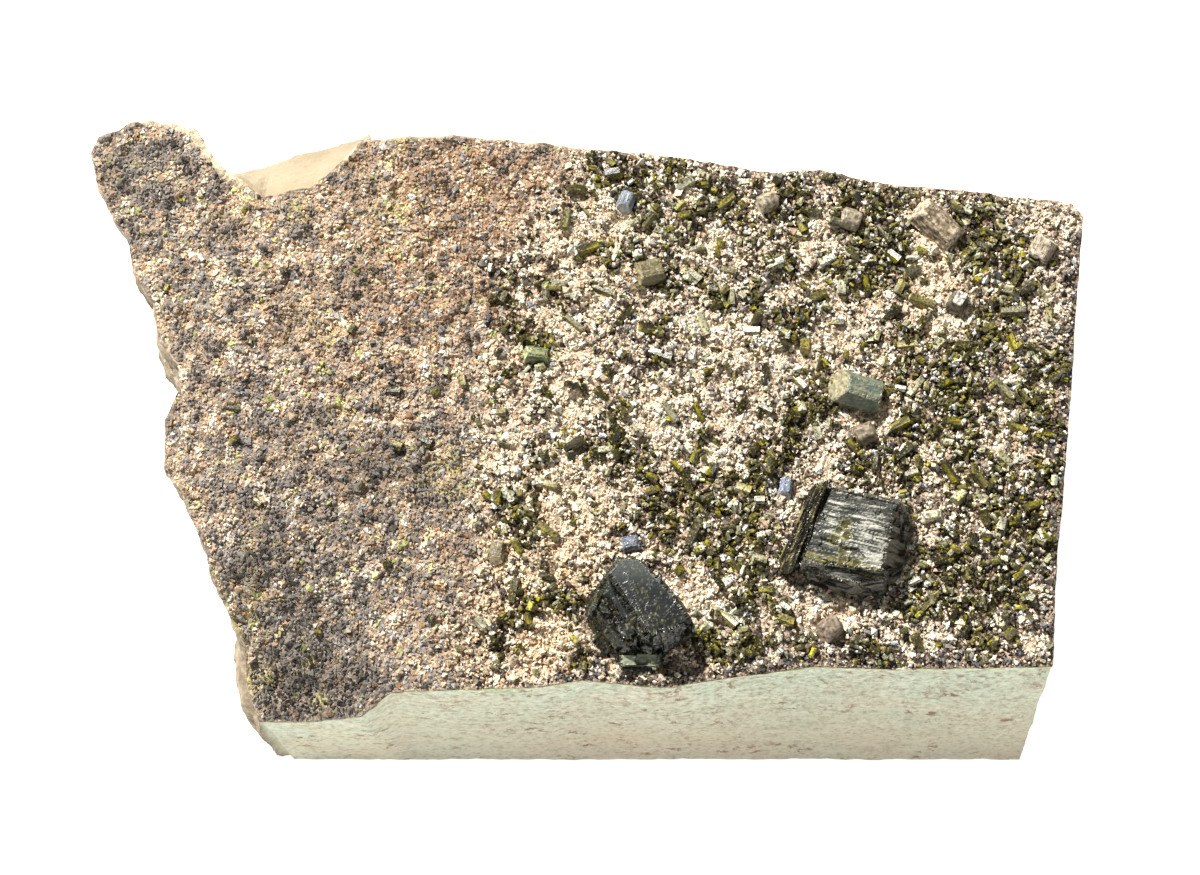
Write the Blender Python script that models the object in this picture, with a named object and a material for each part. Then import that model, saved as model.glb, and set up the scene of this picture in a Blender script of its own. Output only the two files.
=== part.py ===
"""Epidote crystals on a druse crust, over a broken slab of pale host rock.

Metres, +Z up. The origin is the middle of the slab's flat base, and the druse faces up.
Lengths in the tables below are millimetres and are turned into metres once, by MM.
Two pieces make the bulk: the host rock, and the crust of grown-together grains and small
crystals that covers it. The crystals that stand alone sit in pockets of the crust.
"""
import math
import random

import bmesh
import bpy
from mathutils import Matrix, Vector, noise
from mathutils.geometry import delaunay_2d_cdt

MM = 0.001

# The slab: its height under the middle of the druse, and how the druse face leans
FACE_HEIGHT = 20.1
FACE_SLOPE = 0.09
LEFT_FALL_START = -7.5
LEFT_FALL = 0.0042
CORNER_FALL = 4.5
CORNER_FALL_X = (-12.5, -26.5)
CORNER_FALL_Y = (-9.4, -24.4)

# The crust: thickness at its rim and inside, and the gap that keeps two solids apart
RIM_THICKNESS = 1.1
CRUST_THICKNESS = 2.6
RIM_WIDTH = 6.0
GAP = 0.3
LUMP_HEIGHT = 0.45
LUMP_SIZE = 6.2
GRIT_HEIGHT = 0.3
GRIT_SIZE = 1.65
LUMP_LAYER = 3.1
GRIT_LAYER = 8.4

# The foot of the slab: the front wall leans out to one straight line, the right one leans in
FOOT_FRONT_Y = -28.8
FOOT_FRONT_X = (-27.6, 41.4)
FOOT_RIGHT_INSET = 0.9
FOOT_BACK_SHRINK = 0.985
FOOT_BACK_INSET = 1.6
FOOT_BACK_WANDER = 1.8
FOOT_BACK_WAVE = 11.0
FOOT_LEFT_INSET = 0.5
LEFT_LEAN = 1.9
LEFT_LEAN_Y = (-10.0, -27.0)
LEFT_DROP = 1.7
LEFT_DROP_Y = (-18.0, -27.0)

# The notch: a scar that runs out from the rim to a foot near the back of the slab
NOTCH_X = (-35.5, -20.0)
NOTCH_FOOT_Y = 25.75
NOTCH_FOOT_TURN = -0.24
NOTCH_REACH = 1.25
NOTCH_LEVEL = 0.67

# Chips broken out of the walls, as round bowls, and how far each wall swells past them.
# The left wall swells more in two places: their y, half width and swell
CHIP_SIZE = 8.5
CHIP_LOWEST = 0.85
CHIP_DEPTH = {"front": 0.3, "right": 1.5, "back": 2.4, "left": 2.6}
WALL_SWELL = {"front": 0.1, "right": 0.0, "back": 0.8, "left": 0.6}
LEFT_SWELLS = [(6.0, 3.6, 1.9), (-20.0, 3.4, 1.5), (-24.0, 4.2, 3.2)]
WEST_LIMIT = -46.2
NORTH_LIMIT = 28.75

# Mesh steps
EDGE_STEP = 2.9
FINE_STEP = 2.3
COARSE_STEP = 5.5
WALL_LEVELS = (0.16, 0.36, 0.58, 0.8, 1.0)
SHEET_FIELD = (-48.0, 48.0, -30.0, 30.0)
SHEET_MARGIN = 0.45
JITTER = 0.3
INSIDE_ONLY = 1
MERGE = 1e-5

# The rim of the crust seen from above, clockwise from the horn at the back left
RIM_BACK = [
    (-46.2, 26.2), (-45.5, 27.5), (-43.9, 27.9), (-42.3, 28.6), (-40.5, 28.6), (-38.0, 28.1),
    (-36.1, 27.5), (-34.9, 25.5), (-33.2, 23.4), (-31.3, 22.1), (-29.5, 20.5), (-27.0, 20.9),
    (-25.1, 21.0), (-22.1, 23.5), (-20.5, 25.4), (-16.4, 25.6), (-12.6, 25.7), (-6.6, 25.2),
    (-0.6, 24.5), (5.4, 24.0), (12.8, 23.0), (16.4, 22.2), (22.2, 22.3), (27.7, 21.0),
    (34.9, 20.4), (42.2, 19.6), (45.0, 19.2),
]
RIM_RIGHT = [(46.1, 17.9), (45.6, 12.6), (45.2, 9.0), (44.5, 1.0), (43.5, -9.3), (43.0, -12.8)]
RIM_FRONT = [
    (42.3, -23.3), (36.0, -23.4), (27.8, -23.5), (20.9, -23.3), (14.0, -24.2), (7.1, -25.2),
    (0.1, -24.5), (-3.6, -25.1), (-13.2, -25.4), (-17.2, -25.3), (-19.9, -27.2), (-26.9, -27.2),
]
RIM_LEFT = [
    (-29.5, -27.1), (-30.6, -24.0), (-30.9, -20.1), (-32.0, -18.2), (-34.0, -14.0),
    (-34.2, -12.3), (-36.1, -8.4), (-36.8, -6.5), (-38.3, -4.6), (-38.4, 0.1), (-37.0, 3.2),
    (-37.3, 5.2), (-39.2, 7.7), (-39.7, 11.2), (-41.8, 14.4), (-42.4, 17.7), (-43.8, 19.5),
    (-45.6, 23.3),
]

# Colours, as linear red, green and blue
HOST_ROCK = (0.52, 0.51, 0.43)
DRUSE = (0.30, 0.25, 0.17)
DARK_EPIDOTE = (0.07, 0.075, 0.05)
GREEN_EPIDOTE = (0.16, 0.19, 0.07)
BLUE_GREEN = (0.24, 0.33, 0.30)
SLATE = (0.24, 0.26, 0.30)
TAN = (0.45, 0.36, 0.25)
CREAM = (0.62, 0.56, 0.45)

# Crystals that stand alone: colour, place, then length, width and height, then turn about the
# vertical and lean of the long axis in degrees, then the share of the height that is sunk
LONE_CRYSTALS = {
    "blue_green_prism": (BLUE_GREEN, (25.2, 1.5), (5.0, 3.1, 3.0), -13.0, 20.0, 0.30),
    "tan_crystal_back_left": (TAN, (17.1, 19.2), (2.1, 1.8, 2.0), 25.0, 12.0, 0.35),
    "tan_crystal_back_right": (TAN, (24.7, 17.6), (2.2, 2.0, 2.0), -20.0, 10.0, 0.35),
    "cream_striated_block": (CREAM, (32.6, 17.0), (5.4, 2.9, 2.8), -42.0, 8.0, 0.35),
    "cream_crystal_corner": (CREAM, (42.2, 14.8), (2.6, 2.2, 2.1), 60.0, -10.0, 0.35),
    "brown_green_tablet": (GREEN_EPIDOTE, (6.3, 12.7), (2.9, 2.4, 1.9), 15.0, 9.0, 0.35),
    "slate_prism_back": (SLATE, (4.1, 19.3), (2.0, 1.5, 1.6), 70.0, 10.0, 0.30),
    "green_prism_middle": (GREEN_EPIDOTE, (-4.1, 5.0), (2.6, 1.5, 1.6), -5.0, 6.0, 0.30),
    "slate_tablet_front": (SLATE, (4.4, -12.3), (1.8, 1.5, 1.4), 10.0, -8.0, 0.30),
    "slate_prism_middle": (SLATE, (18.5, -7.2), (2.0, 1.2, 1.5), 80.0, 8.0, 0.30),
    "tan_crystal_front": (TAN, (22.4, -19.9), (2.3, 2.1, 2.0), 35.0, 10.0, 0.35),
    "tan_crystal_middle": (TAN, (25.7, -2.3), (2.2, 2.0, 1.9), 20.0, -8.0, 0.35),
    "cream_prism_right": (CREAM, (31.7, -9.8), (2.1, 1.1, 1.4), 10.0, 4.0, 0.30),
    "white_topped_cube": (CREAM, (34.4, 9.8), (2.1, 1.8, 2.1), 60.0, 12.0, 0.35),
    "dark_cream_prism_left": (GREEN_EPIDOTE, (-7.6, -13.0), (2.2, 1.4, 1.5), 80.0, 8.0, 0.30),
}
SECTION_SHOULDER = 0.52
END_SLANT = 0.16

# The two large crystals: corner points of their blocks, as plan x, y and height over the face
BIG_RIGHT_BLOCKS = {
    "body": [
        (21.6, -7.9, 4.0), (28.1, -9.5, 4.4), (26.6, -15.5, 4.0), (19.7, -14.5, 3.6),
        (21.2, -7.2, -1.3), (30.1, -8.6, -1.3), (30.4, -11.6, -1.3), (29.7, -14.3, -1.3),
        (28.5, -16.1, -1.3), (19.6, -15.0, -1.3),
    ],
    "front_ledge": [
        (20.3, -15.2, 2.6), (24.4, -16.3, 2.6), (27.2, -15.8, 2.3), (26.0, -14.0, 2.5),
        (20.6, -16.1, -1.1), (24.3, -17.4, -1.1), (27.6, -17.0, -1.1), (28.0, -14.6, -1.1),
        (20.2, -13.6, -1.1), (20.5, -13.6, 2.5),
    ],
    "left_blade": [
        (22.1, -7.6, 4.6), (20.9, -7.8, 4.3), (18.1, -13.9, 3.1), (18.1, -14.8, 2.7),
        (19.9, -14.7, 2.6), (20.6, -12.5, 3.3), (20.6, -7.4, -1.0), (22.4, -7.0, -1.0),
        (17.7, -14.0, -1.0), (17.9, -15.2, -1.0), (20.0, -15.1, -1.0),
    ],
}
BIG_LEFT_BLOCKS = {
    "body": [
        (3.5, -14.7, 5.0), (5.1, -14.7, 4.6), (8.4, -18.2, 4.2), (9.3, -19.9, 3.6),
        (8.2, -20.6, 4.0), (6.7, -21.0, 4.6), (6.0, -21.3, 4.8), (2.6, -15.9, 5.0),
        (3.3, -14.2, -1.2), (5.6, -14.1, -1.2), (9.4, -18.4, -1.2), (10.2, -20.6, -1.2),
        (8.6, -22.0, -1.2), (6.9, -23.1, -1.2), (4.6, -22.6, -1.2), (2.0, -16.6, -1.2),
    ],
    "left_flank": [
        (2.5, -16.1, 3.9), (5.4, -20.8, 3.7), (4.4, -22.0, 2.8), (1.2, -18.6, 2.6),
        (2.2, -14.7, -1.1), (-0.2, -19.5, -1.1), (1.3, -22.2, -1.1), (2.5, -23.0, -1.1),
        (6.4, -22.9, -1.1), (4.8, -15.2, -1.1),
    ],
    "foot_ledge": [
        (3.4, -22.3, 1.3), (7.0, -22.2, 1.3), (6.9, -23.5, 1.0), (3.6, -23.5, 1.0),
        (3.2, -22.0, -1.0), (7.2, -21.9, -1.0), (7.1, -23.6, -1.0), (3.4, -23.6, -1.0),
    ],
}

# The ground that each large crystal takes: middle and radius
BIG_FOOTPRINTS = [(24.4, -12.0, 7.6), (4.8, -18.8, 6.9)]

# Small crystals grown into the crust
SMALL_SEED = 3
SMALL_TRIES = 2600
SMALL_MOST = 120
SMALL_LENGTH = (1.3, 2.7)
SMALL_WIDTH = (0.7, 1.15)
SMALL_THICKNESS = 1.15
SMALL_FIELD_X = (-14.0, 45.0)
SMALL_FIELD_Y = (-25.0, 25.0)
SMALL_LEAN = 22.0
SMALL_SUNK = 0.42
SMALL_APART = 0.12
RIM_CLEARANCE = 2.0
LONE_CLEARANCE = 0.75

# Where the coarse druse gives way to the fine-grained left part: x of that line by y
DRUSE_LINE = [(-26.0, -12.5), (-14.0, -8.5), (0.0, -8.0), (14.0, -7.0), (26.0, 1.5)]

DRUSE_BLEND = 6.0

# Middles of the thick green patches: x, y, radius and weight
GREEN_EVERYWHERE = 0.03
GREEN_PATCHES = [
    (29.0, 14.0, 12.0, 1.0), (40.0, 6.0, 9.0, 1.0), (34.0, -8.0, 9.0, 0.9), (36.0, -17.0, 8.0, 0.9),
    (6.0, 16.0, 7.0, 0.8), (22.0, -4.0, 9.0, 0.55), (12.0, -19.0, 5.0, 0.7), (-4.0, 4.0, 5.0, 0.5),
    (-5.0, -13.0, 5.0, 0.4), (15.0, 3.0, 10.0, 0.35), (18.0, -20.0, 8.0, 0.5),
]


def clear_scene():
    for item in list(bpy.data.objects):
        bpy.data.objects.remove(item, do_unlink=True)


def smooth(value):
    """A step from 0 to 1 with soft ends."""
    value = min(max(value, 0.0), 1.0)
    return value * value * (3.0 - 2.0 * value)


def ramp(value, ends):
    """A soft step from 0 at the first end to 1 at the second."""
    return smooth((ends[0] - value) / (ends[0] - ends[1]))


def face_height(x, y):
    """Height of the druse face without its roughness."""
    fall = LEFT_FALL * max(0.0, LEFT_FALL_START - x) ** 2
    corner = CORNER_FALL * ramp(x, CORNER_FALL_X) * ramp(y, CORNER_FALL_Y)
    return FACE_HEIGHT + FACE_SLOPE * y - fall - corner


def druse_line_x(y):
    """The x at which the coarse druse begins, for a given y."""
    for (y0, x0), (y1, x1) in zip(DRUSE_LINE, DRUSE_LINE[1:]):
        if y <= y1:
            return x0 + (x1 - x0) * max(0.0, y - y0) / (y1 - y0)
    return DRUSE_LINE[-1][1]


def druse_share(x, y):
    """0 on the fine-grained left part, 1 on the coarse druse."""
    return smooth((x - druse_line_x(y)) / DRUSE_BLEND + 0.5)


def green_share(x, y):
    """How thickly the small green crystals stand at a place, from 0 to 1."""
    share = GREEN_EVERYWHERE
    for px, py, radius, weight in GREEN_PATCHES:
        share += weight * math.exp(-((x - px) ** 2 + (y - py) ** 2) / radius ** 2)
    return min(share, 1.0) * druse_share(x, y)


def roughness(x, y):
    """Lumps of the druse face, stronger on the coarse part."""
    strength = 0.5 + 0.5 * druse_share(x, y)
    lumps = noise.noise(Vector((x / LUMP_SIZE, y / LUMP_SIZE, LUMP_LAYER)))
    grit = noise.noise(Vector((x / GRIT_SIZE, y / GRIT_SIZE, GRIT_LAYER)))
    return strength * (LUMP_HEIGHT * lumps + GRIT_HEIGHT * grit)


def rim_points():
    """The rim with a point every EDGE_STEP or so, each with the name of its side."""
    sides = (("back", RIM_BACK), ("right", RIM_RIGHT), ("front", RIM_FRONT), ("left", RIM_LEFT))
    corners = [(x, y, side) for side, points in sides for x, y in points]
    result = []
    for index, (x0, y0, side) in enumerate(corners):
        x1, y1, _ = corners[(index + 1) % len(corners)]
        steps = max(1, round(math.dist((x0, y0), (x1, y1)) / EDGE_STEP))
        for step in range(steps):
            share = step / steps
            result.append((x0 + (x1 - x0) * share, y0 + (y1 - y0) * share, side))
    return result


def inside(x, y, rim):
    """Whether a point is inside the rim."""
    hit = False
    for index in range(len(rim)):
        x0, y0 = rim[index][:2]
        x1, y1 = rim[index - 1][:2]
        if (y0 > y) != (y1 > y) and x < (x1 - x0) * (y - y0) / (y1 - y0) + x0:
            hit = not hit
    return hit


def rim_distance(x, y, rim):
    """Distance from a point to the rim."""
    best = 1e9
    for index in range(len(rim)):
        x0, y0 = rim[index - 1][:2]
        dx = rim[index][0] - x0
        dy = rim[index][1] - y0
        share = ((x - x0) * dx + (y - y0) * dy) / (dx * dx + dy * dy)
        share = min(max(share, 0.0), 1.0)
        best = min(best, math.dist((x, y), (x0 + dx * share, y0 + dy * share)))
    return best


def sheet(rim, step, seed):
    """Flat triangles that fill the rim: points, the rim's own first, and triples of them."""
    chance = random.Random(seed)
    points = [Vector((x, y)) for x, y, _ in rim]
    edges = [(index, (index + 1) % len(points)) for index in range(len(points))]
    low_x, high_x, low_y, high_y = SHEET_FIELD
    for row in range(int((high_y - low_y) / step)):
        for column in range(int((high_x - low_x) / step)):
            shift_x = 0.5 + 0.5 * (row % 2) + chance.uniform(-JITTER, JITTER)
            shift_y = 0.5 + chance.uniform(-JITTER, JITTER)
            x = low_x + (column + shift_x) * step
            y = low_y + (row + shift_y) * step
            if inside(x, y, rim) and rim_distance(x, y, rim) > SHEET_MARGIN * step:
                points.append(Vector((x, y)))
    found = delaunay_2d_cdt(points, edges, [], INSIDE_ONLY, MERGE)
    flat = [(p.x, p.y) for p in found[0]]
    return flat, [tuple(face) for face in found[2]]


def crust_floor(x, y, rim):
    """Height of the crust's lower side."""
    share = smooth(rim_distance(x, y, rim) / RIM_WIDTH)
    return face_height(x, y) - RIM_THICKNESS - (CRUST_THICKNESS - RIM_THICKNESS) * share


def make_object(name, vertices, faces, colour, rough):
    """A closed mesh object from millimetre points, with its own material."""
    mesh = bpy.data.meshes.new(name)
    mesh.from_pydata([tuple(c * MM for c in v) for v in vertices], [], faces)
    builder = bmesh.new()
    builder.from_mesh(mesh)
    bmesh.ops.recalc_face_normals(builder, faces=builder.faces)
    if builder.calc_volume(signed=True) < 0.0:
        bmesh.ops.reverse_faces(builder, faces=builder.faces)
    builder.to_mesh(mesh)
    builder.free()
    item = bpy.data.objects.new(name, mesh)
    bpy.context.scene.collection.objects.link(item)
    item.data.materials.append(make_material(name, colour, rough))
    return item


def make_material(name, colour, rough):
    material = bpy.data.materials.new(name)
    material.use_nodes = True
    shader = material.node_tree.nodes["Principled BSDF"]
    shader.inputs["Base Color"].default_value = (*colour, 1.0)
    shader.inputs["Roughness"].default_value = rough
    shader.inputs["Metallic"].default_value = 0.0
    return material


def in_notch(x, side):
    return side == "back" and NOTCH_X[0] < x < NOTCH_X[1]


def foot_point(x, y, side):
    """Where the wall under a rim point meets the base."""
    if side == "front":
        share = (x - RIM_LEFT[0][0]) / (RIM_FRONT[0][0] - RIM_LEFT[0][0])
        return FOOT_FRONT_X[0] + share * (FOOT_FRONT_X[1] - FOOT_FRONT_X[0]), FOOT_FRONT_Y
    if side == "right":
        share = (RIM_RIGHT[0][1] - y) / (RIM_RIGHT[0][1] - RIM_FRONT[0][1])
        return x - FOOT_RIGHT_INSET, RIM_RIGHT[0][1] + share * (FOOT_FRONT_Y - RIM_RIGHT[0][1])
    if in_notch(x, side):
        return x, NOTCH_FOOT_Y - NOTCH_FOOT_TURN * (x - NOTCH_X[0])
    if side == "back":
        wander = FOOT_BACK_WANDER * noise.noise(Vector((x / FOOT_BACK_WAVE, LUMP_LAYER, 0.0)))
        return x * FOOT_BACK_SHRINK, y - FOOT_BACK_INSET + wander
    lean = LEFT_LEAN * ramp(y, LEFT_LEAN_Y)
    return x + lean + FOOT_LEFT_INSET, y - LEFT_DROP * ramp(y, LEFT_DROP_Y)


def wall_swell(y, side):
    """How far a wall stands out past its chips."""
    swell = WALL_SWELL[side]
    if side == "left":
        swell += sum(size * math.exp(-((y - place) / half) ** 2) for place, half, size in LEFT_SWELLS)
    return swell


def outward(rim, index):
    """The direction that points out of the slab at a rim point."""
    x0, y0 = rim[index - 1][:2]
    x1, y1 = rim[(index + 1) % len(rim)][:2]
    length = math.dist((x0, y0), (x1, y1))
    return -(y1 - y0) / length, (x1 - x0) / length


def wall_point(rim, index, top, level):
    """A point of the slab's side; level runs from 0 at the crust to 1 at the base."""
    x, y, side = rim[index]
    foot_x, foot_y = foot_point(x, y, side)
    share = level
    if in_notch(x, side):
        share = min(1.0, NOTCH_REACH * math.sin(0.5 * math.pi * min(1.0, level / NOTCH_LEVEL)))
    px = x + (foot_x - x) * share
    py = y + (foot_y - y) * share
    pz = top * (1.0 - level)
    bowl = noise.voronoi(Vector((px, py, pz)) / CHIP_SIZE)[0][0]
    middle = math.sin(math.pi * min(level, CHIP_LOWEST))
    push = middle * (wall_swell(py, side) - CHIP_DEPTH[side] * (1.0 - bowl))
    out_x, out_y = outward(rim, index)
    px = max(px + push * out_x, WEST_LIMIT)
    py = min(py + push * out_y, NORTH_LIMIT)
    return px, max(py, FOOT_FRONT_Y), pz


def make_matrix_rock(rim, coarse):
    """The slab: a top that follows the crust's lower side, walls in rings, and a flat base."""
    flat, triples = coarse
    vertices = [(x, y, crust_floor(x, y, rim) - GAP) for x, y in flat]
    faces = list(triples)
    count = len(rim)
    ring = list(range(count))
    for level in WALL_LEVELS:
        next_ring = []
        for index in range(count):
            next_ring.append(len(vertices))
            vertices.append(wall_point(rim, index, vertices[index][2], level))
        for index in range(count):
            after = (index + 1) % count
            faces.append((ring[index], next_ring[index], next_ring[after], ring[after]))
        ring = next_ring
    base = [Vector(vertices[index][:2]) for index in ring]
    edges = [(index, (index + 1) % count) for index in range(count)]
    found = delaunay_2d_cdt(base, edges, [], INSIDE_ONLY, MERGE)
    faces += [tuple(ring[index] for index in reversed(face)) for face in found[2]]
    return make_object("matrix_rock", vertices, faces, HOST_ROCK, 0.85)


def make_crust(rim, coarse, fine):
    """The druse crust: a rough upper face, a rim, and a lower side over the slab."""
    upper_flat, upper_faces = fine
    lower_flat, lower_faces = coarse
    vertices = [(x, y, face_height(x, y) + roughness(x, y)) for x, y in upper_flat]
    start = len(vertices)
    vertices += [(x, y, crust_floor(x, y, rim)) for x, y in lower_flat]
    faces = list(upper_faces)
    faces += [tuple(start + index for index in reversed(face)) for face in lower_faces]
    for index in range(len(rim)):
        after = (index + 1) % len(rim)
        faces.append((index, start + index, start + after, after))
    return make_object("druse_crust", vertices, faces, DRUSE, 0.8)


def hull(points):
    """The closed convex solid around some points, as vertices and faces."""
    builder = bmesh.new()
    for point in points:
        builder.verts.new(point)
    bmesh.ops.convex_hull(builder, input=builder.verts)
    loose = [vertex for vertex in builder.verts if not vertex.link_faces]
    bmesh.ops.delete(builder, geom=loose, context="VERTS")
    bmesh.ops.dissolve_limit(builder, angle_limit=0.01, verts=builder.verts, edges=builder.edges)
    builder.verts.index_update()
    vertices = [tuple(vertex.co) for vertex in builder.verts]
    faces = [tuple(vertex.index for vertex in face.verts) for face in builder.faces]
    builder.free()
    return vertices, faces


def prism_points(size):
    """A six-sided prism with slanted ends, its long axis along X, its foot flat."""
    length, width, height = size
    half = 0.5 * length
    side = 0.5 * width
    top = 0.5 * height
    section = [
        (-side, -0.2 * top), (-SECTION_SHOULDER * side, top), (SECTION_SHOULDER * side, top),
        (side, 0.1 * top), (0.6 * side, -top), (-0.6 * side, -top),
    ]
    points = []
    for end in (-1.0, 1.0):
        for y, z in section:
            points.append((end * (half - END_SLANT * length * (0.5 + 0.5 * z / top)), y, z))
    return points


def placed(points, x, y, z, turn, lean):
    """Points leaned along X, turned about Z and moved to their place."""
    matrix = Matrix.Translation((x, y, z))
    matrix = matrix @ Matrix.Rotation(math.radians(turn), 4, "Z")
    matrix = matrix @ Matrix.Rotation(math.radians(lean), 4, "Y")
    return [tuple(matrix @ Vector(point)) for point in points]


def lone_points(place, size, turn, lean, sunk):
    x, y = place
    z = face_height(x, y) + (0.5 - sunk) * size[2]
    return placed(prism_points(size), x, y, z, turn, lean)


def big_points(corners):
    """Corner points of one block of a large crystal, set on the druse face."""
    return [(x, y, face_height(x, y) + up) for x, y, up in corners]


def pocket(points):
    """The solid around some points, larger by the gap on every side."""
    signs = (-GAP, GAP)
    return hull([(x + a, y + b, z + c) for x, y, z in points for a in signs for b in signs for c in signs])


def joined_mesh(name, hulls):
    """One guide object out of several convex solids, for a Boolean."""
    vertices = []
    faces = []
    for points, sides in hulls:
        start = len(vertices)
        vertices += points
        faces += [tuple(start + index for index in side) for side in sides]
    mesh = bpy.data.meshes.new(name)
    mesh.from_pydata([tuple(c * MM for c in v) for v in vertices], [], faces)
    builder = bmesh.new()
    builder.from_mesh(mesh)
    bmesh.ops.recalc_face_normals(builder, faces=builder.faces)
    builder.to_mesh(mesh)
    builder.free()
    guide = bpy.data.objects.new(name, mesh)
    bpy.context.scene.collection.objects.link(guide)
    guide.hide_render = True
    guide.display_type = "WIRE"
    return guide


def add_boolean(item, guide, operation, own_overlaps=False):
    modifier = item.modifiers.new(guide.name, "BOOLEAN")
    modifier.operation = operation
    modifier.object = guide
    modifier.solver = "EXACT"
    modifier.use_self = own_overlaps


def small_crystals(rim):
    """Places of the small crystals that are grown into the crust, thicker in the green patches."""
    chance = random.Random(SMALL_SEED)
    taken = [(*row[1], 0.5 * row[2][0] + LONE_CLEARANCE) for row in LONE_CRYSTALS.values()]
    taken += BIG_FOOTPRINTS
    found = []
    for _ in range(SMALL_TRIES):
        x = chance.uniform(*SMALL_FIELD_X)
        y = chance.uniform(*SMALL_FIELD_Y)
        length = chance.uniform(*SMALL_LENGTH)
        width = chance.uniform(*SMALL_WIDTH)
        turn = chance.uniform(0.0, 180.0)
        lean = chance.uniform(-SMALL_LEAN, SMALL_LEAN)
        wanted = chance.random() < green_share(x, y)
        radius = 0.5 * length
        if not wanted or len(found) >= SMALL_MOST:
            continue
        if not inside(x, y, rim) or rim_distance(x, y, rim) < RIM_CLEARANCE:
            continue
        if any(math.dist((x, y), (a, b)) < radius + r + SMALL_APART for a, b, r in taken):
            continue
        taken.append((x, y, radius))
        found.append(((x, y), (length, width, SMALL_THICKNESS * width), turn, lean, SMALL_SUNK))
    return found


def build():
    clear_scene()
    rim = rim_points()
    coarse = sheet(rim, COARSE_STEP, 1)
    fine = sheet(rim, FINE_STEP, 2)
    make_matrix_rock(rim, coarse)
    crust = make_crust(rim, coarse, fine)

    small = [hull(lone_points(*row)) for row in small_crystals(rim)]
    add_boolean(crust, joined_mesh("small_crystal_guide", small), "UNION")

    pockets = []
    for name, (colour, *row) in LONE_CRYSTALS.items():
        vertices, faces = hull(lone_points(*row))
        make_object(name, vertices, faces, colour, 0.35)
        pockets.append(pocket(lone_points(*row)))
    for name, blocks in (("epidote_large_right", BIG_RIGHT_BLOCKS), ("epidote_large_left", BIG_LEFT_BLOCKS)):
        vertices, faces = hull(big_points(blocks["body"]))
        crystal = make_object(name, vertices, faces, DARK_EPIDOTE, 0.3)
        for block, corners in blocks.items():
            pockets.append(pocket(big_points(corners)))
            if block != "body":
                add_boolean(crystal, joined_mesh(name + "_" + block, [hull(big_points(corners))]), "UNION")
    add_boolean(crust, joined_mesh("pocket_guide", pockets), "DIFFERENCE", own_overlaps=True)


build()
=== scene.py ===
"""The looks of the epidote cluster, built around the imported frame.

Metres in Blender, +Z up, in the frame's own coordinates. The tables and the shape functions work
in millimetres, as the solids do, and MM turns them into metres when a mesh is made.
"""

import math
import random

import bmesh
import bpy
import numpy as np
from mathutils import Matrix, Vector, noise
from mathutils.geometry import delaunay_2d_cdt


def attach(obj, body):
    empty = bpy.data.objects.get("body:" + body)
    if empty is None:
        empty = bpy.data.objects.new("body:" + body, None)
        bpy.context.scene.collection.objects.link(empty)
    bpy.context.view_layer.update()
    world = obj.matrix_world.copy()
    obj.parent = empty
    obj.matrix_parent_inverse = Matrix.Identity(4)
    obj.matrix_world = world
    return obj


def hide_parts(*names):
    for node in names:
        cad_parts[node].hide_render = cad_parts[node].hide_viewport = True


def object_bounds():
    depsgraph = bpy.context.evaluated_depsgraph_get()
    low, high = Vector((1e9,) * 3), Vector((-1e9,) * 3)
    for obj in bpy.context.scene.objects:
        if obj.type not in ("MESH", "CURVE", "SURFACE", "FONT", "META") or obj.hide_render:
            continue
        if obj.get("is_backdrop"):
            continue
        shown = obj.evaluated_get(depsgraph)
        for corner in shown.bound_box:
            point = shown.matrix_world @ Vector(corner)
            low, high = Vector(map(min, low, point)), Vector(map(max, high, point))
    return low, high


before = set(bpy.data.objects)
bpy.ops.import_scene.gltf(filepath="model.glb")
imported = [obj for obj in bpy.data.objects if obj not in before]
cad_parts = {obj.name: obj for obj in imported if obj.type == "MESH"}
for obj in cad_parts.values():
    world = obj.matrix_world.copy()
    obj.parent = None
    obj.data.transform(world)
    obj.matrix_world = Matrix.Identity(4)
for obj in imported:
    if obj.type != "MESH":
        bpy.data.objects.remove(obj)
cad_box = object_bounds()

MM = 0.001

# The slab and its druse face, as the solids have them
FACE_HEIGHT = 20.1
FACE_SLOPE = 0.09
LEFT_FALL_START = -7.5
LEFT_FALL = 0.0042
CORNER_FALL = 4.5
CORNER_FALL_X = (-12.5, -26.5)
CORNER_FALL_Y = (-9.4, -24.4)
RIM_THICKNESS = 1.1
CRUST_THICKNESS = 2.6
RIM_WIDTH = 6.0
GAP = 0.3
LUMP_HEIGHT = 0.45
LUMP_SIZE = 6.2
GRIT_HEIGHT = 0.3
GRIT_SIZE = 1.65
LUMP_LAYER = 3.1
GRIT_LAYER = 8.4
FOOT_FRONT_Y = -28.8
FOOT_FRONT_X = (-27.6, 41.4)
FOOT_RIGHT_INSET = 0.9
FOOT_BACK_SHRINK = 0.985
FOOT_BACK_INSET = 1.6
FOOT_BACK_WANDER = 1.8
FOOT_BACK_WAVE = 11.0
FOOT_LEFT_INSET = 0.5
LEFT_LEAN = 1.9
LEFT_LEAN_Y = (-10.0, -27.0)
LEFT_DROP = 1.7
LEFT_DROP_Y = (-18.0, -27.0)
NOTCH_X = (-35.5, -20.0)
NOTCH_FOOT_Y = 25.75
NOTCH_FOOT_TURN = -0.24
NOTCH_REACH = 1.25
NOTCH_LEVEL = 0.67
CHIP_SIZE = 8.5
CHIP_LOWEST = 0.85
CHIP_DEPTH = {"front": 0.3, "right": 1.5, "back": 2.4, "left": 2.6}
WALL_SWELL = {"front": 0.1, "right": 0.0, "back": 0.8, "left": 0.6}
LEFT_SWELLS = [(6.0, 3.6, 1.9), (-20.0, 3.4, 1.5), (-24.0, 4.2, 3.2)]
WEST_LIMIT = -46.2
NORTH_LIMIT = 28.75
EDGE_STEP = 2.9
SHEET_FIELD = (-48.0, 48.0, -30.0, 30.0)
SHEET_MARGIN = 0.45
JITTER = 0.3
COARSE_STEP = 5.5
COARSE_SEED = 1
INSIDE_ONLY = 1
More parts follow.
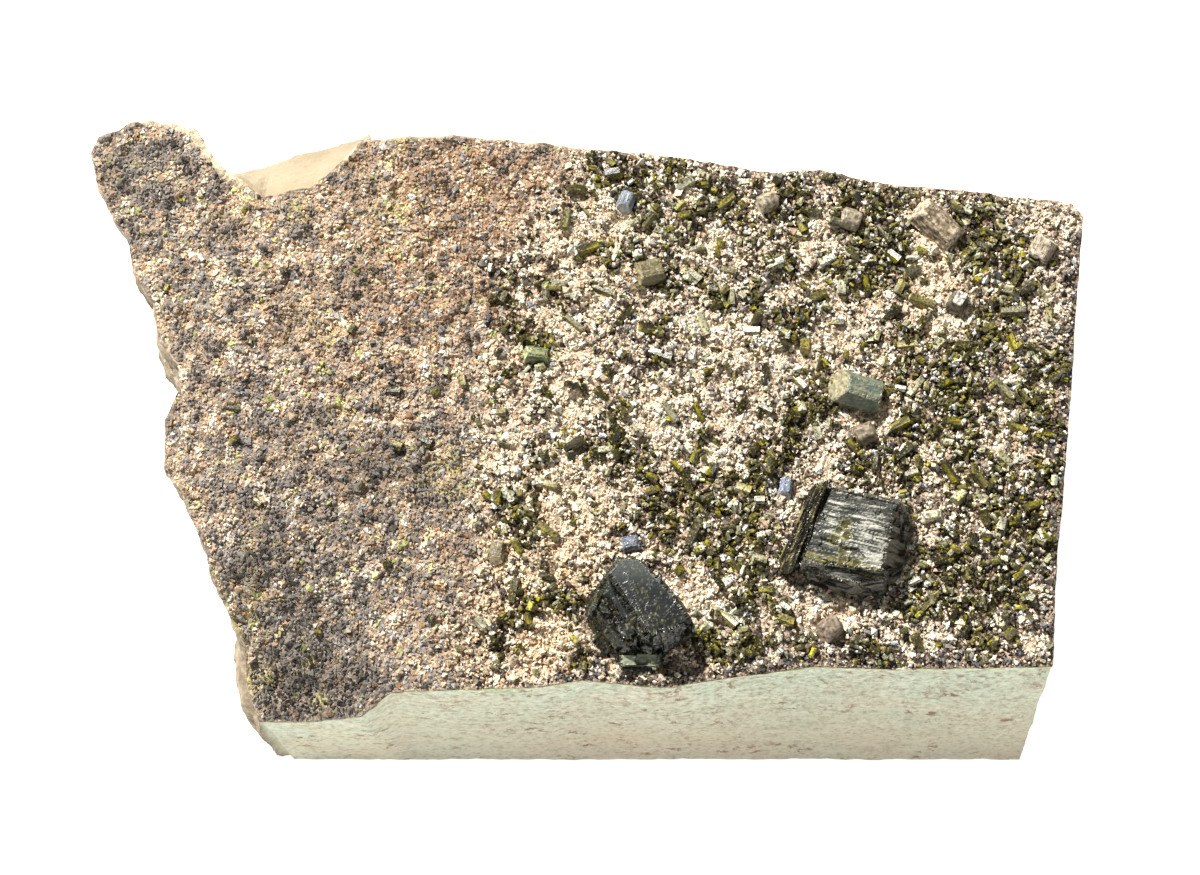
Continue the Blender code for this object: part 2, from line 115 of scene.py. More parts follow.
MERGE = 1e-5
RIM_BACK = [
    (-46.2, 26.2), (-45.5, 27.5), (-43.9, 27.9), (-42.3, 28.6), (-40.5, 28.6), (-38.0, 28.1),
    (-36.1, 27.5), (-34.9, 25.5), (-33.2, 23.4), (-31.3, 22.1), (-29.5, 20.5), (-27.0, 20.9),
    (-25.1, 21.0), (-22.1, 23.5), (-20.5, 25.4), (-16.4, 25.6), (-12.6, 25.7), (-6.6, 25.2),
    (-0.6, 24.5), (5.4, 24.0), (12.8, 23.0), (16.4, 22.2), (22.2, 22.3), (27.7, 21.0),
    (34.9, 20.4), (42.2, 19.6), (45.0, 19.2),
]
RIM_RIGHT = [(46.1, 17.9), (45.6, 12.6), (45.2, 9.0), (44.5, 1.0), (43.5, -9.3), (43.0, -12.8)]
RIM_FRONT = [
    (42.3, -23.3), (36.0, -23.4), (27.8, -23.5), (20.9, -23.3), (14.0, -24.2), (7.1, -25.2),
    (0.1, -24.5), (-3.6, -25.1), (-13.2, -25.4), (-17.2, -25.3), (-19.9, -27.2), (-26.9, -27.2),
]
RIM_LEFT = [
    (-29.5, -27.1), (-30.6, -24.0), (-30.9, -20.1), (-32.0, -18.2), (-34.0, -14.0),
    (-34.2, -12.3), (-36.1, -8.4), (-36.8, -6.5), (-38.3, -4.6), (-38.4, 0.1), (-37.0, 3.2),
    (-37.3, 5.2), (-39.2, 7.7), (-39.7, 11.2), (-41.8, 14.4), (-42.4, 17.7), (-43.8, 19.5),
    (-45.6, 23.3),
]
DRUSE_LINE = [(-26.0, -12.5), (-14.0, -8.5), (0.0, -8.0), (14.0, -7.0), (26.0, 1.5)]
DRUSE_BLEND = 6.0
GREEN_EVERYWHERE = 0.03
GREEN_PATCHES = [
    (29.0, 14.0, 12.0, 1.0), (40.0, 6.0, 9.0, 1.0), (34.0, -8.0, 9.0, 0.9), (36.0, -17.0, 8.0, 0.9),
    (6.0, 16.0, 7.0, 0.8), (22.0, -4.0, 9.0, 0.55), (12.0, -19.0, 5.0, 0.7), (-4.0, 4.0, 5.0, 0.5),
    (-5.0, -13.0, 5.0, 0.4), (15.0, 3.0, 10.0, 0.35), (18.0, -20.0, 8.0, 0.5),
]

# Crystals that stand alone: place, size, turn, lean and sunk share, as in the solids
LONE_CRYSTALS = {
    "blue_green_prism": ((25.2, 1.5), (5.0, 3.1, 3.0), -13.0, 20.0, 0.30),
    "tan_crystal_back_left": ((17.1, 19.2), (2.1, 1.8, 2.0), 25.0, 12.0, 0.35),
    "tan_crystal_back_right": ((24.7, 17.6), (2.2, 2.0, 2.0), -20.0, 10.0, 0.35),
    "cream_striated_block": ((32.6, 17.0), (5.4, 2.9, 2.8), -42.0, 8.0, 0.35),
    "cream_crystal_corner": ((42.2, 14.8), (2.6, 2.2, 2.1), 60.0, -10.0, 0.35),
    "brown_green_tablet": ((6.3, 12.7), (2.9, 2.4, 1.9), 15.0, 9.0, 0.35),
    "slate_prism_back": ((4.1, 19.3), (2.0, 1.5, 1.6), 70.0, 10.0, 0.30),
    "green_prism_middle": ((-4.1, 5.0), (2.6, 1.5, 1.6), -5.0, 6.0, 0.30),
    "slate_tablet_front": ((4.4, -12.3), (1.8, 1.5, 1.4), 10.0, -8.0, 0.30),
    "slate_prism_middle": ((18.5, -7.2), (2.0, 1.2, 1.5), 80.0, 8.0, 0.30),
    "tan_crystal_front": ((22.4, -19.9), (2.3, 2.1, 2.0), 35.0, 10.0, 0.35),
    "tan_crystal_middle": ((25.7, -2.3), (2.2, 2.0, 1.9), 20.0, -8.0, 0.35),
    "cream_prism_right": ((31.7, -9.8), (2.1, 1.1, 1.4), 10.0, 4.0, 0.30),
    "white_topped_cube": ((34.4, 9.8), (2.1, 1.8, 2.1), 60.0, 12.0, 0.35),
    "dark_cream_prism_left": ((-7.6, -13.0), (2.2, 1.4, 1.5), 80.0, 8.0, 0.30),
}
SECTION_SHOULDER = 0.52
END_SLANT = 0.16
BIG_FOOTPRINTS = [(24.4, -12.0, 7.6), (4.8, -18.8, 6.9)]
SMALL_SEED = 3
SMALL_TRIES = 2600
SMALL_MOST = 120
SMALL_LENGTH = (1.3, 2.7)
SMALL_WIDTH = (0.7, 1.15)
SMALL_THICKNESS = 1.15
SMALL_FIELD_X = (-14.0, 45.0)
SMALL_FIELD_Y = (-25.0, 25.0)
SMALL_LEAN = 22.0
SMALL_SUNK = 0.42
SMALL_APART = 0.12
RIM_CLEARANCE = 2.0
LONE_CLEARANCE = 0.75


def smooth(value):
    value = min(max(value, 0.0), 1.0)
    return value * value * (3.0 - 2.0 * value)


def ramp(value, ends):
    """A soft step from 0 at the first end to 1 at the second."""
    return smooth((ends[0] - value) / (ends[0] - ends[1]))


def face_height(x, y):
    fall = LEFT_FALL * max(0.0, LEFT_FALL_START - x) ** 2
    corner = CORNER_FALL * ramp(x, CORNER_FALL_X) * ramp(y, CORNER_FALL_Y)
    return FACE_HEIGHT + FACE_SLOPE * y - fall - corner


def druse_line_x(y):
    for (y0, x0), (y1, x1) in zip(DRUSE_LINE, DRUSE_LINE[1:]):
        if y <= y1:
            return x0 + (x1 - x0) * max(0.0, y - y0) / (y1 - y0)
    return DRUSE_LINE[-1][1]


def druse_share(x, y):
    """0 on the fine-grained left part, 1 on the coarse druse."""
    return smooth((x - druse_line_x(y)) / DRUSE_BLEND + 0.5)


def patches(x, y, table):
    """The sum of round soft patches at a place."""
    return sum(w * math.exp(-((x - px) ** 2 + (y - py) ** 2) / r ** 2) for px, py, r, w in table)


def green_share(x, y):
    return min(GREEN_EVERYWHERE + patches(x, y, GREEN_PATCHES), 1.0) * druse_share(x, y)


def waves(x, y, size, layer):
    """Smooth noise from about -1 to 1 with waves of a size; each layer has its own pattern."""
    return noise.noise(Vector((x / size, y / size, layer)))


def roughness(x, y):
    """Lumps of the druse face that the solids have too."""
    strength = 0.5 + 0.5 * druse_share(x, y)
    lumps = waves(x, y, LUMP_SIZE, LUMP_LAYER)
    grit = waves(x, y, GRIT_SIZE, GRIT_LAYER)
    return strength * (LUMP_HEIGHT * lumps + GRIT_HEIGHT * grit)


def rim_points():
    """The rim with a point every EDGE_STEP or so, each with the name of its side."""
    sides = (("back", RIM_BACK), ("right", RIM_RIGHT), ("front", RIM_FRONT), ("left", RIM_LEFT))
    return divided([(x, y, side) for side, points in sides for x, y in points], EDGE_STEP)


def divided(rim, step):
    """A closed line of points and side names, with a point every step or so."""
    result = []
    for index, (x0, y0, side) in enumerate(rim):
        x1, y1, _ = rim[(index + 1) % len(rim)]
        count = max(1, round(math.dist((x0, y0), (x1, y1)) / step))
        for k in range(count):
            share = k / count
            result.append((x0 + (x1 - x0) * share, y0 + (y1 - y0) * share, side))
    return result


def inside(x, y, rim):
    hit = False
    for index in range(len(rim)):
        x0, y0 = rim[index][:2]
        x1, y1 = rim[index - 1][:2]
        if (y0 > y) != (y1 > y) and x < (x1 - x0) * (y - y0) / (y1 - y0) + x0:
            hit = not hit
    return hit


def rim_distance(x, y, rim):
    best = 1e9
    for index in range(len(rim)):
        x0, y0 = rim[index - 1][:2]
        dx = rim[index][0] - x0
        dy = rim[index][1] - y0
        share = ((x - x0) * dx + (y - y0) * dy) / (dx * dx + dy * dy)
        share = min(max(share, 0.0), 1.0)
        best = min(best, math.dist((x, y), (x0 + dx * share, y0 + dy * share)))
    return best


def loop_edges(count):
    """Pairs of neighbours in a closed loop of points."""
    return [(index, (index + 1) % count) for index in range(count)]


def sheet(rim, step, seed):
    """Flat triangles that fill the rim: points, the rim's own first, and triples of them."""
    chance = random.Random(seed)
    points = [Vector((x, y)) for x, y, *_ in rim]
    edges = loop_edges(len(points))
    low_x, high_x, low_y, high_y = SHEET_FIELD
    for row in range(int((high_y - low_y) / step)):
        for column in range(int((high_x - low_x) / step)):
            shift_x = 0.5 + 0.5 * (row % 2) + chance.uniform(-JITTER, JITTER)
            shift_y = 0.5 + chance.uniform(-JITTER, JITTER)
            x = low_x + (column + shift_x) * step
            y = low_y + (row + shift_y) * step
            if inside(x, y, rim) and rim_distance(x, y, rim) > SHEET_MARGIN * step:
                points.append(Vector((x, y)))
    found = delaunay_2d_cdt(points, edges, [], INSIDE_ONLY, MERGE)
    return np.array([(p.x, p.y) for p in found[0]]), np.array([tuple(face) for face in found[2]])


def inside_places(rim):
    """Places inside the rim a coarse step apart, for the surface between rock and crust."""
    return sheet(rim, COARSE_STEP, COARSE_SEED)[0][len(rim):].tolist()


def crust_floor(x, y, rim):
    share = smooth(rim_distance(x, y, rim) / RIM_WIDTH)
    return face_height(x, y) - RIM_THICKNESS - (CRUST_THICKNESS - RIM_THICKNESS) * share


def in_notch(x, side):
    return side == "back" and NOTCH_X[0] < x < NOTCH_X[1]


def foot_point(x, y, side):
    if side == "front":
        share = (x - RIM_LEFT[0][0]) / (RIM_FRONT[0][0] - RIM_LEFT[0][0])
        return FOOT_FRONT_X[0] + share * (FOOT_FRONT_X[1] - FOOT_FRONT_X[0]), FOOT_FRONT_Y
    if side == "right":
        share = (RIM_RIGHT[0][1] - y) / (RIM_RIGHT[0][1] - RIM_FRONT[0][1])
        return x - FOOT_RIGHT_INSET, RIM_RIGHT[0][1] + share * (FOOT_FRONT_Y - RIM_RIGHT[0][1])
    if in_notch(x, side):
        return x, NOTCH_FOOT_Y - NOTCH_FOOT_TURN * (x - NOTCH_X[0])
    if side == "back":
        wander = FOOT_BACK_WANDER * noise.noise(Vector((x / FOOT_BACK_WAVE, LUMP_LAYER, 0.0)))
        return x * FOOT_BACK_SHRINK, y - FOOT_BACK_INSET + wander
    lean = LEFT_LEAN * ramp(y, LEFT_LEAN_Y)
    return x + lean + FOOT_LEFT_INSET, y - LEFT_DROP * ramp(y, LEFT_DROP_Y)


def wall_swell(y, side):
    swell = WALL_SWELL[side]
    if side == "left":
        swell += sum(size * math.exp(-((y - place) / half) ** 2) for place, half, size in LEFT_SWELLS)
    return swell


def wall_point(ring, index, out, top, level):
    """A point of the wall, as in the solids, at a level from 0 at its top to 1 at its foot."""
    x, y, side = ring[index]
    foot_x, foot_y = foot_point(x, y, side)
    share = level
    if in_notch(x, side):
        share = min(1.0, NOTCH_REACH * math.sin(0.5 * math.pi * min(1.0, level / NOTCH_LEVEL)))
    px = x + (foot_x - x) * share
    py = y + (foot_y - y) * share
    pz = top * (1.0 - level)
    bowl = noise.voronoi(Vector((px, py, pz)) / CHIP_SIZE)[0][0]
    middle = math.sin(math.pi * min(level, CHIP_LOWEST))
    push = middle * (wall_swell(py, side) - CHIP_DEPTH[side] * (1.0 - bowl))
    px = max(px + push * out.x, WEST_LIMIT)
    py = min(py + push * out.y, NORTH_LIMIT)
    return px, max(py, FOOT_FRONT_Y), pz


def prism_points(size):
    """A six-sided prism with slanted ends, its long axis along X, its foot flat."""
    length, width, height = size
    half = 0.5 * length
    side = 0.5 * width
    top = 0.5 * height
    section = [
        (-side, -0.2 * top), (-SECTION_SHOULDER * side, top), (SECTION_SHOULDER * side, top),
        (side, 0.1 * top), (0.6 * side, -top), (-0.6 * side, -top),
    ]
    points = []
    for end in (-1.0, 1.0):
        for y, z in section:
            points.append((end * (half - END_SLANT * length * (0.5 + 0.5 * z / top)), y, z))
    return points


def small_crystals(rim):
    """Places of the small crystals that the solids have too."""
    chance = random.Random(SMALL_SEED)
    taken = [(*row[0], 0.5 * row[1][0] + LONE_CLEARANCE) for row in LONE_CRYSTALS.values()]
    taken += BIG_FOOTPRINTS
    found = []
    for _ in range(SMALL_TRIES):
        x = chance.uniform(*SMALL_FIELD_X)
        y = chance.uniform(*SMALL_FIELD_Y)
        length = chance.uniform(*SMALL_LENGTH)
        width = chance.uniform(*SMALL_WIDTH)
        turn = chance.uniform(0.0, 180.0)
        lean = chance.uniform(-SMALL_LEAN, SMALL_LEAN)
        wanted = chance.random() < green_share(x, y)
        radius = 0.5 * length
        if not wanted or len(found) >= SMALL_MOST:
            continue
        if not inside(x, y, rim) or rim_distance(x, y, rim) < RIM_CLEARANCE:
            continue
        if any(math.dist((x, y), (a, b)) < radius + r + SMALL_APART for a, b, r in taken):
            continue
        taken.append((x, y, radius))
        found.append((x, y, (length, width, SMALL_THICKNESS * width), turn, lean, SMALL_SUNK))
    return found


# Meshes from arrays


def rim_fields(xy, ring):
    """For many points at once: whether each is inside the ring, and how far from it."""
    start = np.array([(x, y) for x, y, *_ in ring])
    end = np.roll(start, -1, axis=0)
    step = end - start
    hit = np.zeros(len(xy), bool)
    best = np.full(len(xy), 1e9)
    for (x0, y0), (x1, y1), (dx, dy) in zip(start, end, step):
        if y0 != y1:
            crosses = (y0 > xy[:, 1]) != (y1 > xy[:, 1])
            hit ^= crosses & (xy[:, 0] < dx * (xy[:, 1] - y0) / dy + x0)
        along = (xy[:, 0] - x0) * dx + (xy[:, 1] - y0) * dy
        share = np.clip(along / (dx * dx + dy * dy), 0.0, 1.0)
        away = np.hypot(xy[:, 0] - x0 - dx * share, xy[:, 1] - y0 - dy * share)
        best = np.minimum(best, away)
    return hit, best


def triangle_edges(triples):
    return np.concatenate([triples[:, (0, 1)], triples[:, (1, 2)], triples[:, (2, 0)]])


def edge_ring(triples):
    """The outer points of a flat sheet of triangles, in order round it."""
    edges = {tuple(edge) for edge in triangle_edges(triples).tolist()}
    following = {a: b for a, b in edges if (b, a) not in edges}
    ring = [min(following)]
    while following[ring[-1]] != ring[0]:
        ring.append(following[ring[-1]])
    return ring


def quartered(points, triples):
    """Every triangle cut in four at the middles of its edges."""
    pairs, which = np.unique(np.sort(triangle_edges(triples), axis=1), axis=0, return_inverse=True)
    middles = 0.5 * (points[pairs[:, 0]] + points[pairs[:, 1]])
    ab, bc, ca = (which.reshape(-1) + len(points)).reshape(3, -1)
    a, b, c = triples.T
    rows = [(a, ab, ca), (ab, b, bc), (ca, bc, c), (ab, bc, ca)]
    return np.concatenate([points, middles]), np.concatenate([np.stack(row, 1) for row in rows])


def band(upper, lower):
    """Four-sided faces between two closed rows of point numbers."""
    return [(upper[a], lower[a], lower[b], upper[b]) for a, b in loop_edges(len(upper))]


def new_mesh(name, points, faces):
    """A mesh in metres from millimetre points; the faces are one array or a list of tuples."""
    mesh = bpy.data.meshes.new(name)
    points = np.asarray(points, float) * MM
    if isinstance(faces, np.ndarray):
        corners = faces.shape[1]
        mesh.vertices.add(len(points))
        mesh.vertices.foreach_set("co", points.ravel())
        mesh.loops.add(faces.size)
        mesh.loops.foreach_set("vertex_index", faces.ravel().astype(np.int32))
        mesh.polygons.add(len(faces))
        mesh.polygons.foreach_set("loop_start", np.arange(0, faces.size, corners, dtype=np.int32))
    else:
        mesh.from_pydata(points.tolist(), [], faces)
    mesh.update(calc_edges=True)
    mesh.shade_flat()
    return mesh


def add_piece(mesh, material, slot, replaced=()):
    """Puts a finished mesh in the scene as a piece of the part."""
    piece = bpy.data.objects.new(mesh.name, mesh)
    bpy.context.scene.collection.objects.link(piece)
    mesh.materials.clear()
    mesh.materials.append(material)
    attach(piece, "root")
    if replaced:
        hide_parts(*replaced)
    return piece


def set_colours(mesh, colours, alpha=None):
    """One linear colour for each vertex, which the materials read as 'tint'."""
    layer = mesh.color_attributes.new(name="tint", type="FLOAT_COLOR", domain="POINT")
    alpha = np.ones(len(colours)) if alpha is None else alpha
    rgba = np.column_stack([colours, alpha])
    layer.data.foreach_set("color", rgba.ravel().astype(np.float32))


def outward_faces(mesh):
    """Turns the faces of a closed mesh outward."""
    builder = bmesh.new()
    builder.from_mesh(mesh)
    bmesh.ops.recalc_face_normals(builder, faces=builder.faces)
    if builder.calc_volume(signed=True) < 0.0:
        bmesh.ops.reverse_faces(builder, faces=builder.faces)
    builder.to_mesh(mesh)
    builder.free()


def linear(red, green, blue):
    """A linear colour from the 0 to 255 numbers that one reads off a screen, by the sRGB curve."""
    return tuple(((c / 255.0 + 0.055) / 1.055) ** 2.4 for c in (red, green, blue))


def blend(first, second, share):
    """A colour between two others: the first at share 0, the second at 1."""
    return Vector(first).lerp(Vector(second), share)


# Screen colours of the host rock and of the crust, with a near-black used as painted shade in the gaps
# between grains
ROCK_GREEN = linear(196, 205, 181)
ROCK_PALE = linear(226, 226, 208)
ROCK_SHADE = linear(150, 142, 118)
ROCK_BEIGE = linear(208, 194, 168)
ROCK_BROWN = linear(142, 118, 92)
ROCK_SPECK = linear(132, 100, 68)
ROCK_CREAM = linear(160, 146, 120)
ROCK_TAN = linear(120, 102, 82)
ROCK_UNDER = linear(166, 182, 96)
# Painted shade: a near-black for the pits and gaps between grains, also used as dark speckle on the
# crystals
GAP_SHADE_AND_SPECK = linear(22, 17, 12)
GRAIN_PEACH = linear(214, 178, 146)
GRAIN_GREY = linear(120, 112, 104)
GRAIN_CREAM = linear(244, 232, 212)
COOL = (0.88, 0.96, 1.08)
WARM = (1.08, 1.00, 0.84)
# A painted glint: yellow-green light through the small prisms
PAINTED_GLINT = linear(184, 172, 40)
FLAW = linear(34, 32, 18)


# Materials


# The colour sockets of a Mix node
MIX_A = 6
MIX_B = 7
MIX_RESULT = 2

STREAK_SIZE = 0.3
STREAK_STRETCH = 9.0


class Nodes:
    """A material under construction: add() makes a node and links what is passed to it."""

    def __init__(self, name, roughness, specular):
        self.material = bpy.data.materials.new(name)
        self.material.use_nodes = True
        self.tree = self.material.node_tree
        self.shader = self.tree.nodes["Principled BSDF"]
        self.shader.inputs["Roughness"].default_value = roughness
        self.shader.inputs["Specular IOR Level"].default_value = specular
        self.place = self.add("ShaderNodeTexCoord").outputs["Object"]

    def add(self, kind, inputs=(), **settings):
        """A new node with these settings; an input is a value or a socket to link."""
        node = self.tree.nodes.new(kind)
        for key, value in settings.items():
            setattr(node, key, value)
        for key, value in dict(inputs).items():
            if isinstance(value, bpy.types.NodeSocket):
                self.tree.links.new(value, node.inputs[key])
            else:
                node.inputs[key].default_value = value
        return node

    def noise(self, size_mm, detail, roughness=0.55, mapping=None):
        """Noise whose features are about size_mm across, from 0 to 1, moved or stretched by the mapping."""
        place = self.place
        if mapping is not None:
            place = self.add("ShaderNodeMapping", {"Vector": place, **mapping}).outputs["Vector"]
        scale = 1.0 / (size_mm * MM)
        inputs = {"Vector": place, "Scale": scale, "Detail": detail, "Roughness": roughness}
        return self.add("ShaderNodeTexNoise", inputs).outputs["Fac"]

    def between(self, value, low, high, to=(0.0, 1.0)):
        """The value stretched from low..high to the range 'to', clamped."""
        inputs = {"Value": value, "From Min": low, "From Max": high, "To Min": to[0], "To Max": to[1]}
        return self.add("ShaderNodeMapRange", inputs).outputs["Result"]

    def mix(self, share, a, b, kind="MIX"):
        """The colour a with a share of b over it; each is a socket or three numbers."""
        node = self.add("ShaderNodeMix", {0: share}, data_type="RGBA", blend_type=kind, clamp_result=True)
        for key, value in ((MIX_A, a), (MIX_B, b)):
            if isinstance(value, bpy.types.NodeSocket):
                self.tree.links.new(value, node.inputs[key])
            else:
                node.inputs[key].default_value = (*value, 1.0)
        return node.outputs[MIX_RESULT]

    def times(self, a, b):
        """The product of two values."""
        return self.add("ShaderNodeMath", {0: a, 1: b}, operation="MULTIPLY").outputs["Value"]

    def over(self, colour, layer, value, low, high, most, mask=None):
        """A layer of colour over another: none of it where the value is low, 'most' where it is high."""
        share = self.between(value, low, high, (0.0, most))
        return self.mix(share if mask is None else self.times(share, mask), colour, layer)

    def tint(self, output="Color"):
        """The colour of the mesh's own points, or its alpha."""
        return self.add("ShaderNodeVertexColor", layer_name="tint").outputs[output]

    def finish(self, colour, roughness, height, height_mm):
        """Links the colour, the roughness and a bump of height_mm to the shader."""
        self.tree.links.new(colour, self.shader.inputs["Base Color"])
        self.tree.links.new(roughness, self.shader.inputs["Roughness"])
        bump = self.add("ShaderNodeBump", {"Height": height, "Distance": height_mm * MM, "Strength": 1.0})
        self.tree.links.new(bump.outputs["Normal"], self.shader.inputs["Normal"])
        return self.material


def grain_material(name, roughness, spread, specular, swing, gap_shade):
    """Mineral grains: each has its own tint, with finer speckle that also swings from cool to warm.

    Spread is how strong the speckle is, swing how far the colour wanders, and the last argument how
    dark the painted shade in the fine pits between its crystals is.
    """
    nodes = Nodes(name, roughness, specular)
    speckle = nodes.noise(0.15, 2.0, 0.6)
    shade = nodes.between(speckle, 0.34, 0.66, (1.0 - spread, 1.0 + 0.6 * spread))
    grey = nodes.add("ShaderNodeCombineColor", {0: shade, 1: shade, 2: shade}).outputs["Color"]
    other = nodes.noise(0.24, 2.0, 0.6, {"Location": (0.43, 0.27, 0.11)})
    drift = nodes.between(other, 0.38, 0.62, (0.5 - 0.5 * swing, 0.5 + 0.5 * swing))
    colour = nodes.mix(1.0, nodes.tint(), grey, "MULTIPLY")
    colour = nodes.mix(1.0, colour, nodes.mix(drift, COOL, WARM), "MULTIPLY")
    # Painted shade: the grains turn near-black in the fine pits between their crystals
    pits = nodes.noise(0.21, 2.0, 0.7, {"Location": (0.17, 0.39, 0.23)})
    colour = nodes.over(colour, GAP_SHADE_AND_SPECK, pits, 0.46, 0.38, gap_shade)
    gloss = nodes.between(nodes.noise(0.5, 2.0), 0.35, 0.65, (roughness - 0.14, roughness + 0.14))
    return nodes.finish(colour, gloss, speckle, 0.04)


def prism_material():
    """Olive prisms with painted yellow-green glints for light that comes through them, and dark flaws."""
    nodes = Nodes("small_prisms", 0.34, 0.55)
    inner = nodes.noise(0.17, 2.0, 0.6)
    flaws = nodes.noise(0.19, 2.0, 0.6, {"Location": (0.21, 0.33, 0.17)})
    # Painted glints where the inner noise is high
    colour = nodes.over(nodes.tint(), PAINTED_GLINT, inner, 0.59, 0.66, 0.9)
    colour = nodes.over(colour, FLAW, flaws, 0.49, 0.40, 0.85)
    gloss = nodes.between(inner, 0.35, 0.65, (0.26, 0.46))
    return nodes.finish(colour, gloss, flaws, 0.03)


def rock_material():
    """Pale stone: fine speckle along the bedding, brown specks below the druse, soft spots lower down.

    The tint's alpha says which surface it is: 1 on a smooth wall, 0.5 on a broken side, 0 in the scar.
    """
    nodes = Nodes("host_rock", 0.85, 0.25)
    bedding = {"Scale": (0.6, 0.6, 1.0)}
    fine = nodes.noise(0.30, 3.0, 0.7, bedding)
    medium = nodes.noise(0.55, 3.0, 0.65, {"Scale": (0.7, 0.7, 1.0), "Location": (0.31, 0.17, 0.05)})
    blotch = nodes.noise(4.5, 4.0, 0.6, bedding)
    height = nodes.add("ShaderNodeSeparateXYZ", {"Vector": nodes.place}).outputs["Z"]
    kind = nodes.tint("Alpha")
    smooth_wall = nodes.between(kind, 0.6, 1.0)
    stony = nodes.between(kind, 0.0, 0.5, (0.25, 1.0))
    upper = nodes.times(nodes.between(height, 0.005, 0.016, (0.3, 1.0)), nodes.between(kind, 0.2, 0.9))
    not_scar = nodes.between(kind, 0.0, 1.0, (0.3, 1.0))
    colour = nodes.over(nodes.tint(), ROCK_BEIGE, blotch, 0.48, 0.66, 0.6, not_scar)
    colour = nodes.over(colour, ROCK_PALE, medium, 0.45, 0.33, 0.5, upper)
    colour = nodes.over(colour, ROCK_PALE, fine, 0.52, 0.66, 0.85, upper)
    colour = nodes.over(colour, ROCK_SHADE, fine, 0.46, 0.34, 0.6, stony)
    colour = nodes.over(colour, ROCK_BROWN, medium, 0.54, 0.62, 0.6, upper)
    flecks = nodes.noise(0.8, 4.0, 0.75, {"Scale": (0.7, 0.7, 1.0), "Location": (0.2, 0.3, 0.1)})
    where = nodes.between(nodes.noise(3.4, 2.0, 0.5, {"Location": (0.5, 0.1, 0.2)}), 0.50, 0.62)
    colour = nodes.over(colour, ROCK_SPECK, flecks, 0.54, 0.60, 0.85, nodes.times(where, smooth_wall))
    return nodes.finish(colour, nodes.between(fine, 0.3, 0.7, (0.95, 0.7)), fine, 0.16)


def ground_material():
    """The mass of the crust: its zones come from the tint, the sugary grain and the painted shade in its
    pits from here.

    The tint's alpha is the share of grain: it falls to 0 where the rim is bare stone.
    """
    nodes = Nodes("druse_base", 0.8, 0.25)
    mask = nodes.tint("Alpha")
    grain = nodes.noise(0.26, 3.0, 0.75)
    other = nodes.noise(0.36, 3.0, 0.7, {"Location": (0.37, 0.11, 0.05)})
    colour = nodes.over(nodes.tint(), GRAIN_PEACH, other, 0.42, 0.62, 0.55, mask)
    colour = nodes.over(colour, GRAIN_GREY, other, 0.50, 0.36, 0.6, mask)
    colour = nodes.over(colour, GRAIN_CREAM, grain, 0.56, 0.68, 0.75, mask)
    # Painted shade: the ground turns near-black in the pits between its grains
    colour = nodes.over(colour, GAP_SHADE_AND_SPECK, grain, 0.51, 0.42, 0.97, mask)
    return nodes.finish(colour, nodes.between(grain, 0.3, 0.7, (0.9, 0.6)), grain, 0.22)


def crystal_material(name, along, roughness, painted_sheen, share):
    """A striated crystal with painted sheen: streaks of a lighter colour stand for light reflected along
    the striations, which run at 'along' degrees about the vertical.
    """
    nodes = Nodes(name, roughness, 0.45)
    turn = {"Rotation": (0.0, 0.0, math.radians(-along)), "Scale": (1.0 / STREAK_STRETCH, 1.0, 1.0)}
    streaks = nodes.noise(STREAK_SIZE, 3.0, 0.6, turn)
    # Painted sheen: a lighter colour along the striations
    colour = nodes.over(nodes.tint(), painted_sheen, streaks, 0.56, 0.74, share)
    fine = nodes.noise(0.2, 3.0, 0.6)
    colour = nodes.over(colour, GAP_SHADE_AND_SPECK, fine, 0.5, 0.75, 0.4)
    gloss = nodes.between(streaks, 0.3, 0.7, (roughness - 0.08, roughness + 0.15))
    return nodes.finish(colour, gloss, streaks, 0.05)


# The host rock

ROCK_STEP = 0.42
LIP_DEPTH = 0.4
LIP_ROWS = 3
WALL_ROWS = 44
NORMAL_REACH = 6
FOOT_ROOM = 0.1
ROCK_LUMP = 2.4
ROCK_PIT = 1.1
ROCK_PIT_SHARE = 0.8
ROCK_ROUGH = {"front": 0.10, "right": 0.22, "back": 0.30, "left": 0.42}

# The tint's alpha for each surface of the rock
SMOOTH_WALL = 1.0
BROKEN_SIDE = 0.5
SCAR = 0.0


def wide_outward(ring, index):
    """The outward direction at a point of a finely divided rim."""
    x0, y0 = ring[index - NORMAL_REACH][:2]
    x1, y1 = ring[(index + NORMAL_REACH) % len(ring)][:2]
    length = max(math.dist((x0, y0), (x1, y1)), 1e-6)
    return Vector((-(y1 - y0) / length, (x1 - x0) / length, 0.0))


def rock_grit(place, side):
    """How far the rough surface of the rock stands out at a place."""
    broad = noise.fractal(place / ROCK_LUMP, 0.9, 2.1, 4)
    pits = noise.voronoi(place / ROCK_PIT)[0][0]
    return ROCK_ROUGH[side] * (broad + ROCK_PIT_SHARE * (pits - 0.5))


def roughened(place, out, side):
    """A point of the rock's side with its grit, kept inside the rock's limits."""
    moved = place + out * rock_grit(place, side)
    x = max(moved.x, WEST_LIMIT)
    return x, max(min(moved.y, NORTH_LIMIT), FOOT_FRONT_Y - FOOT_ROOM), place.z


def rock_kind(x, side):
    """Which surface of the rock this is, as its material reads it from the tint's alpha."""
    if side in ("front", "right"):
        return SMOOTH_WALL
    return SCAR if in_notch(x, side) else BROKEN_SIDE


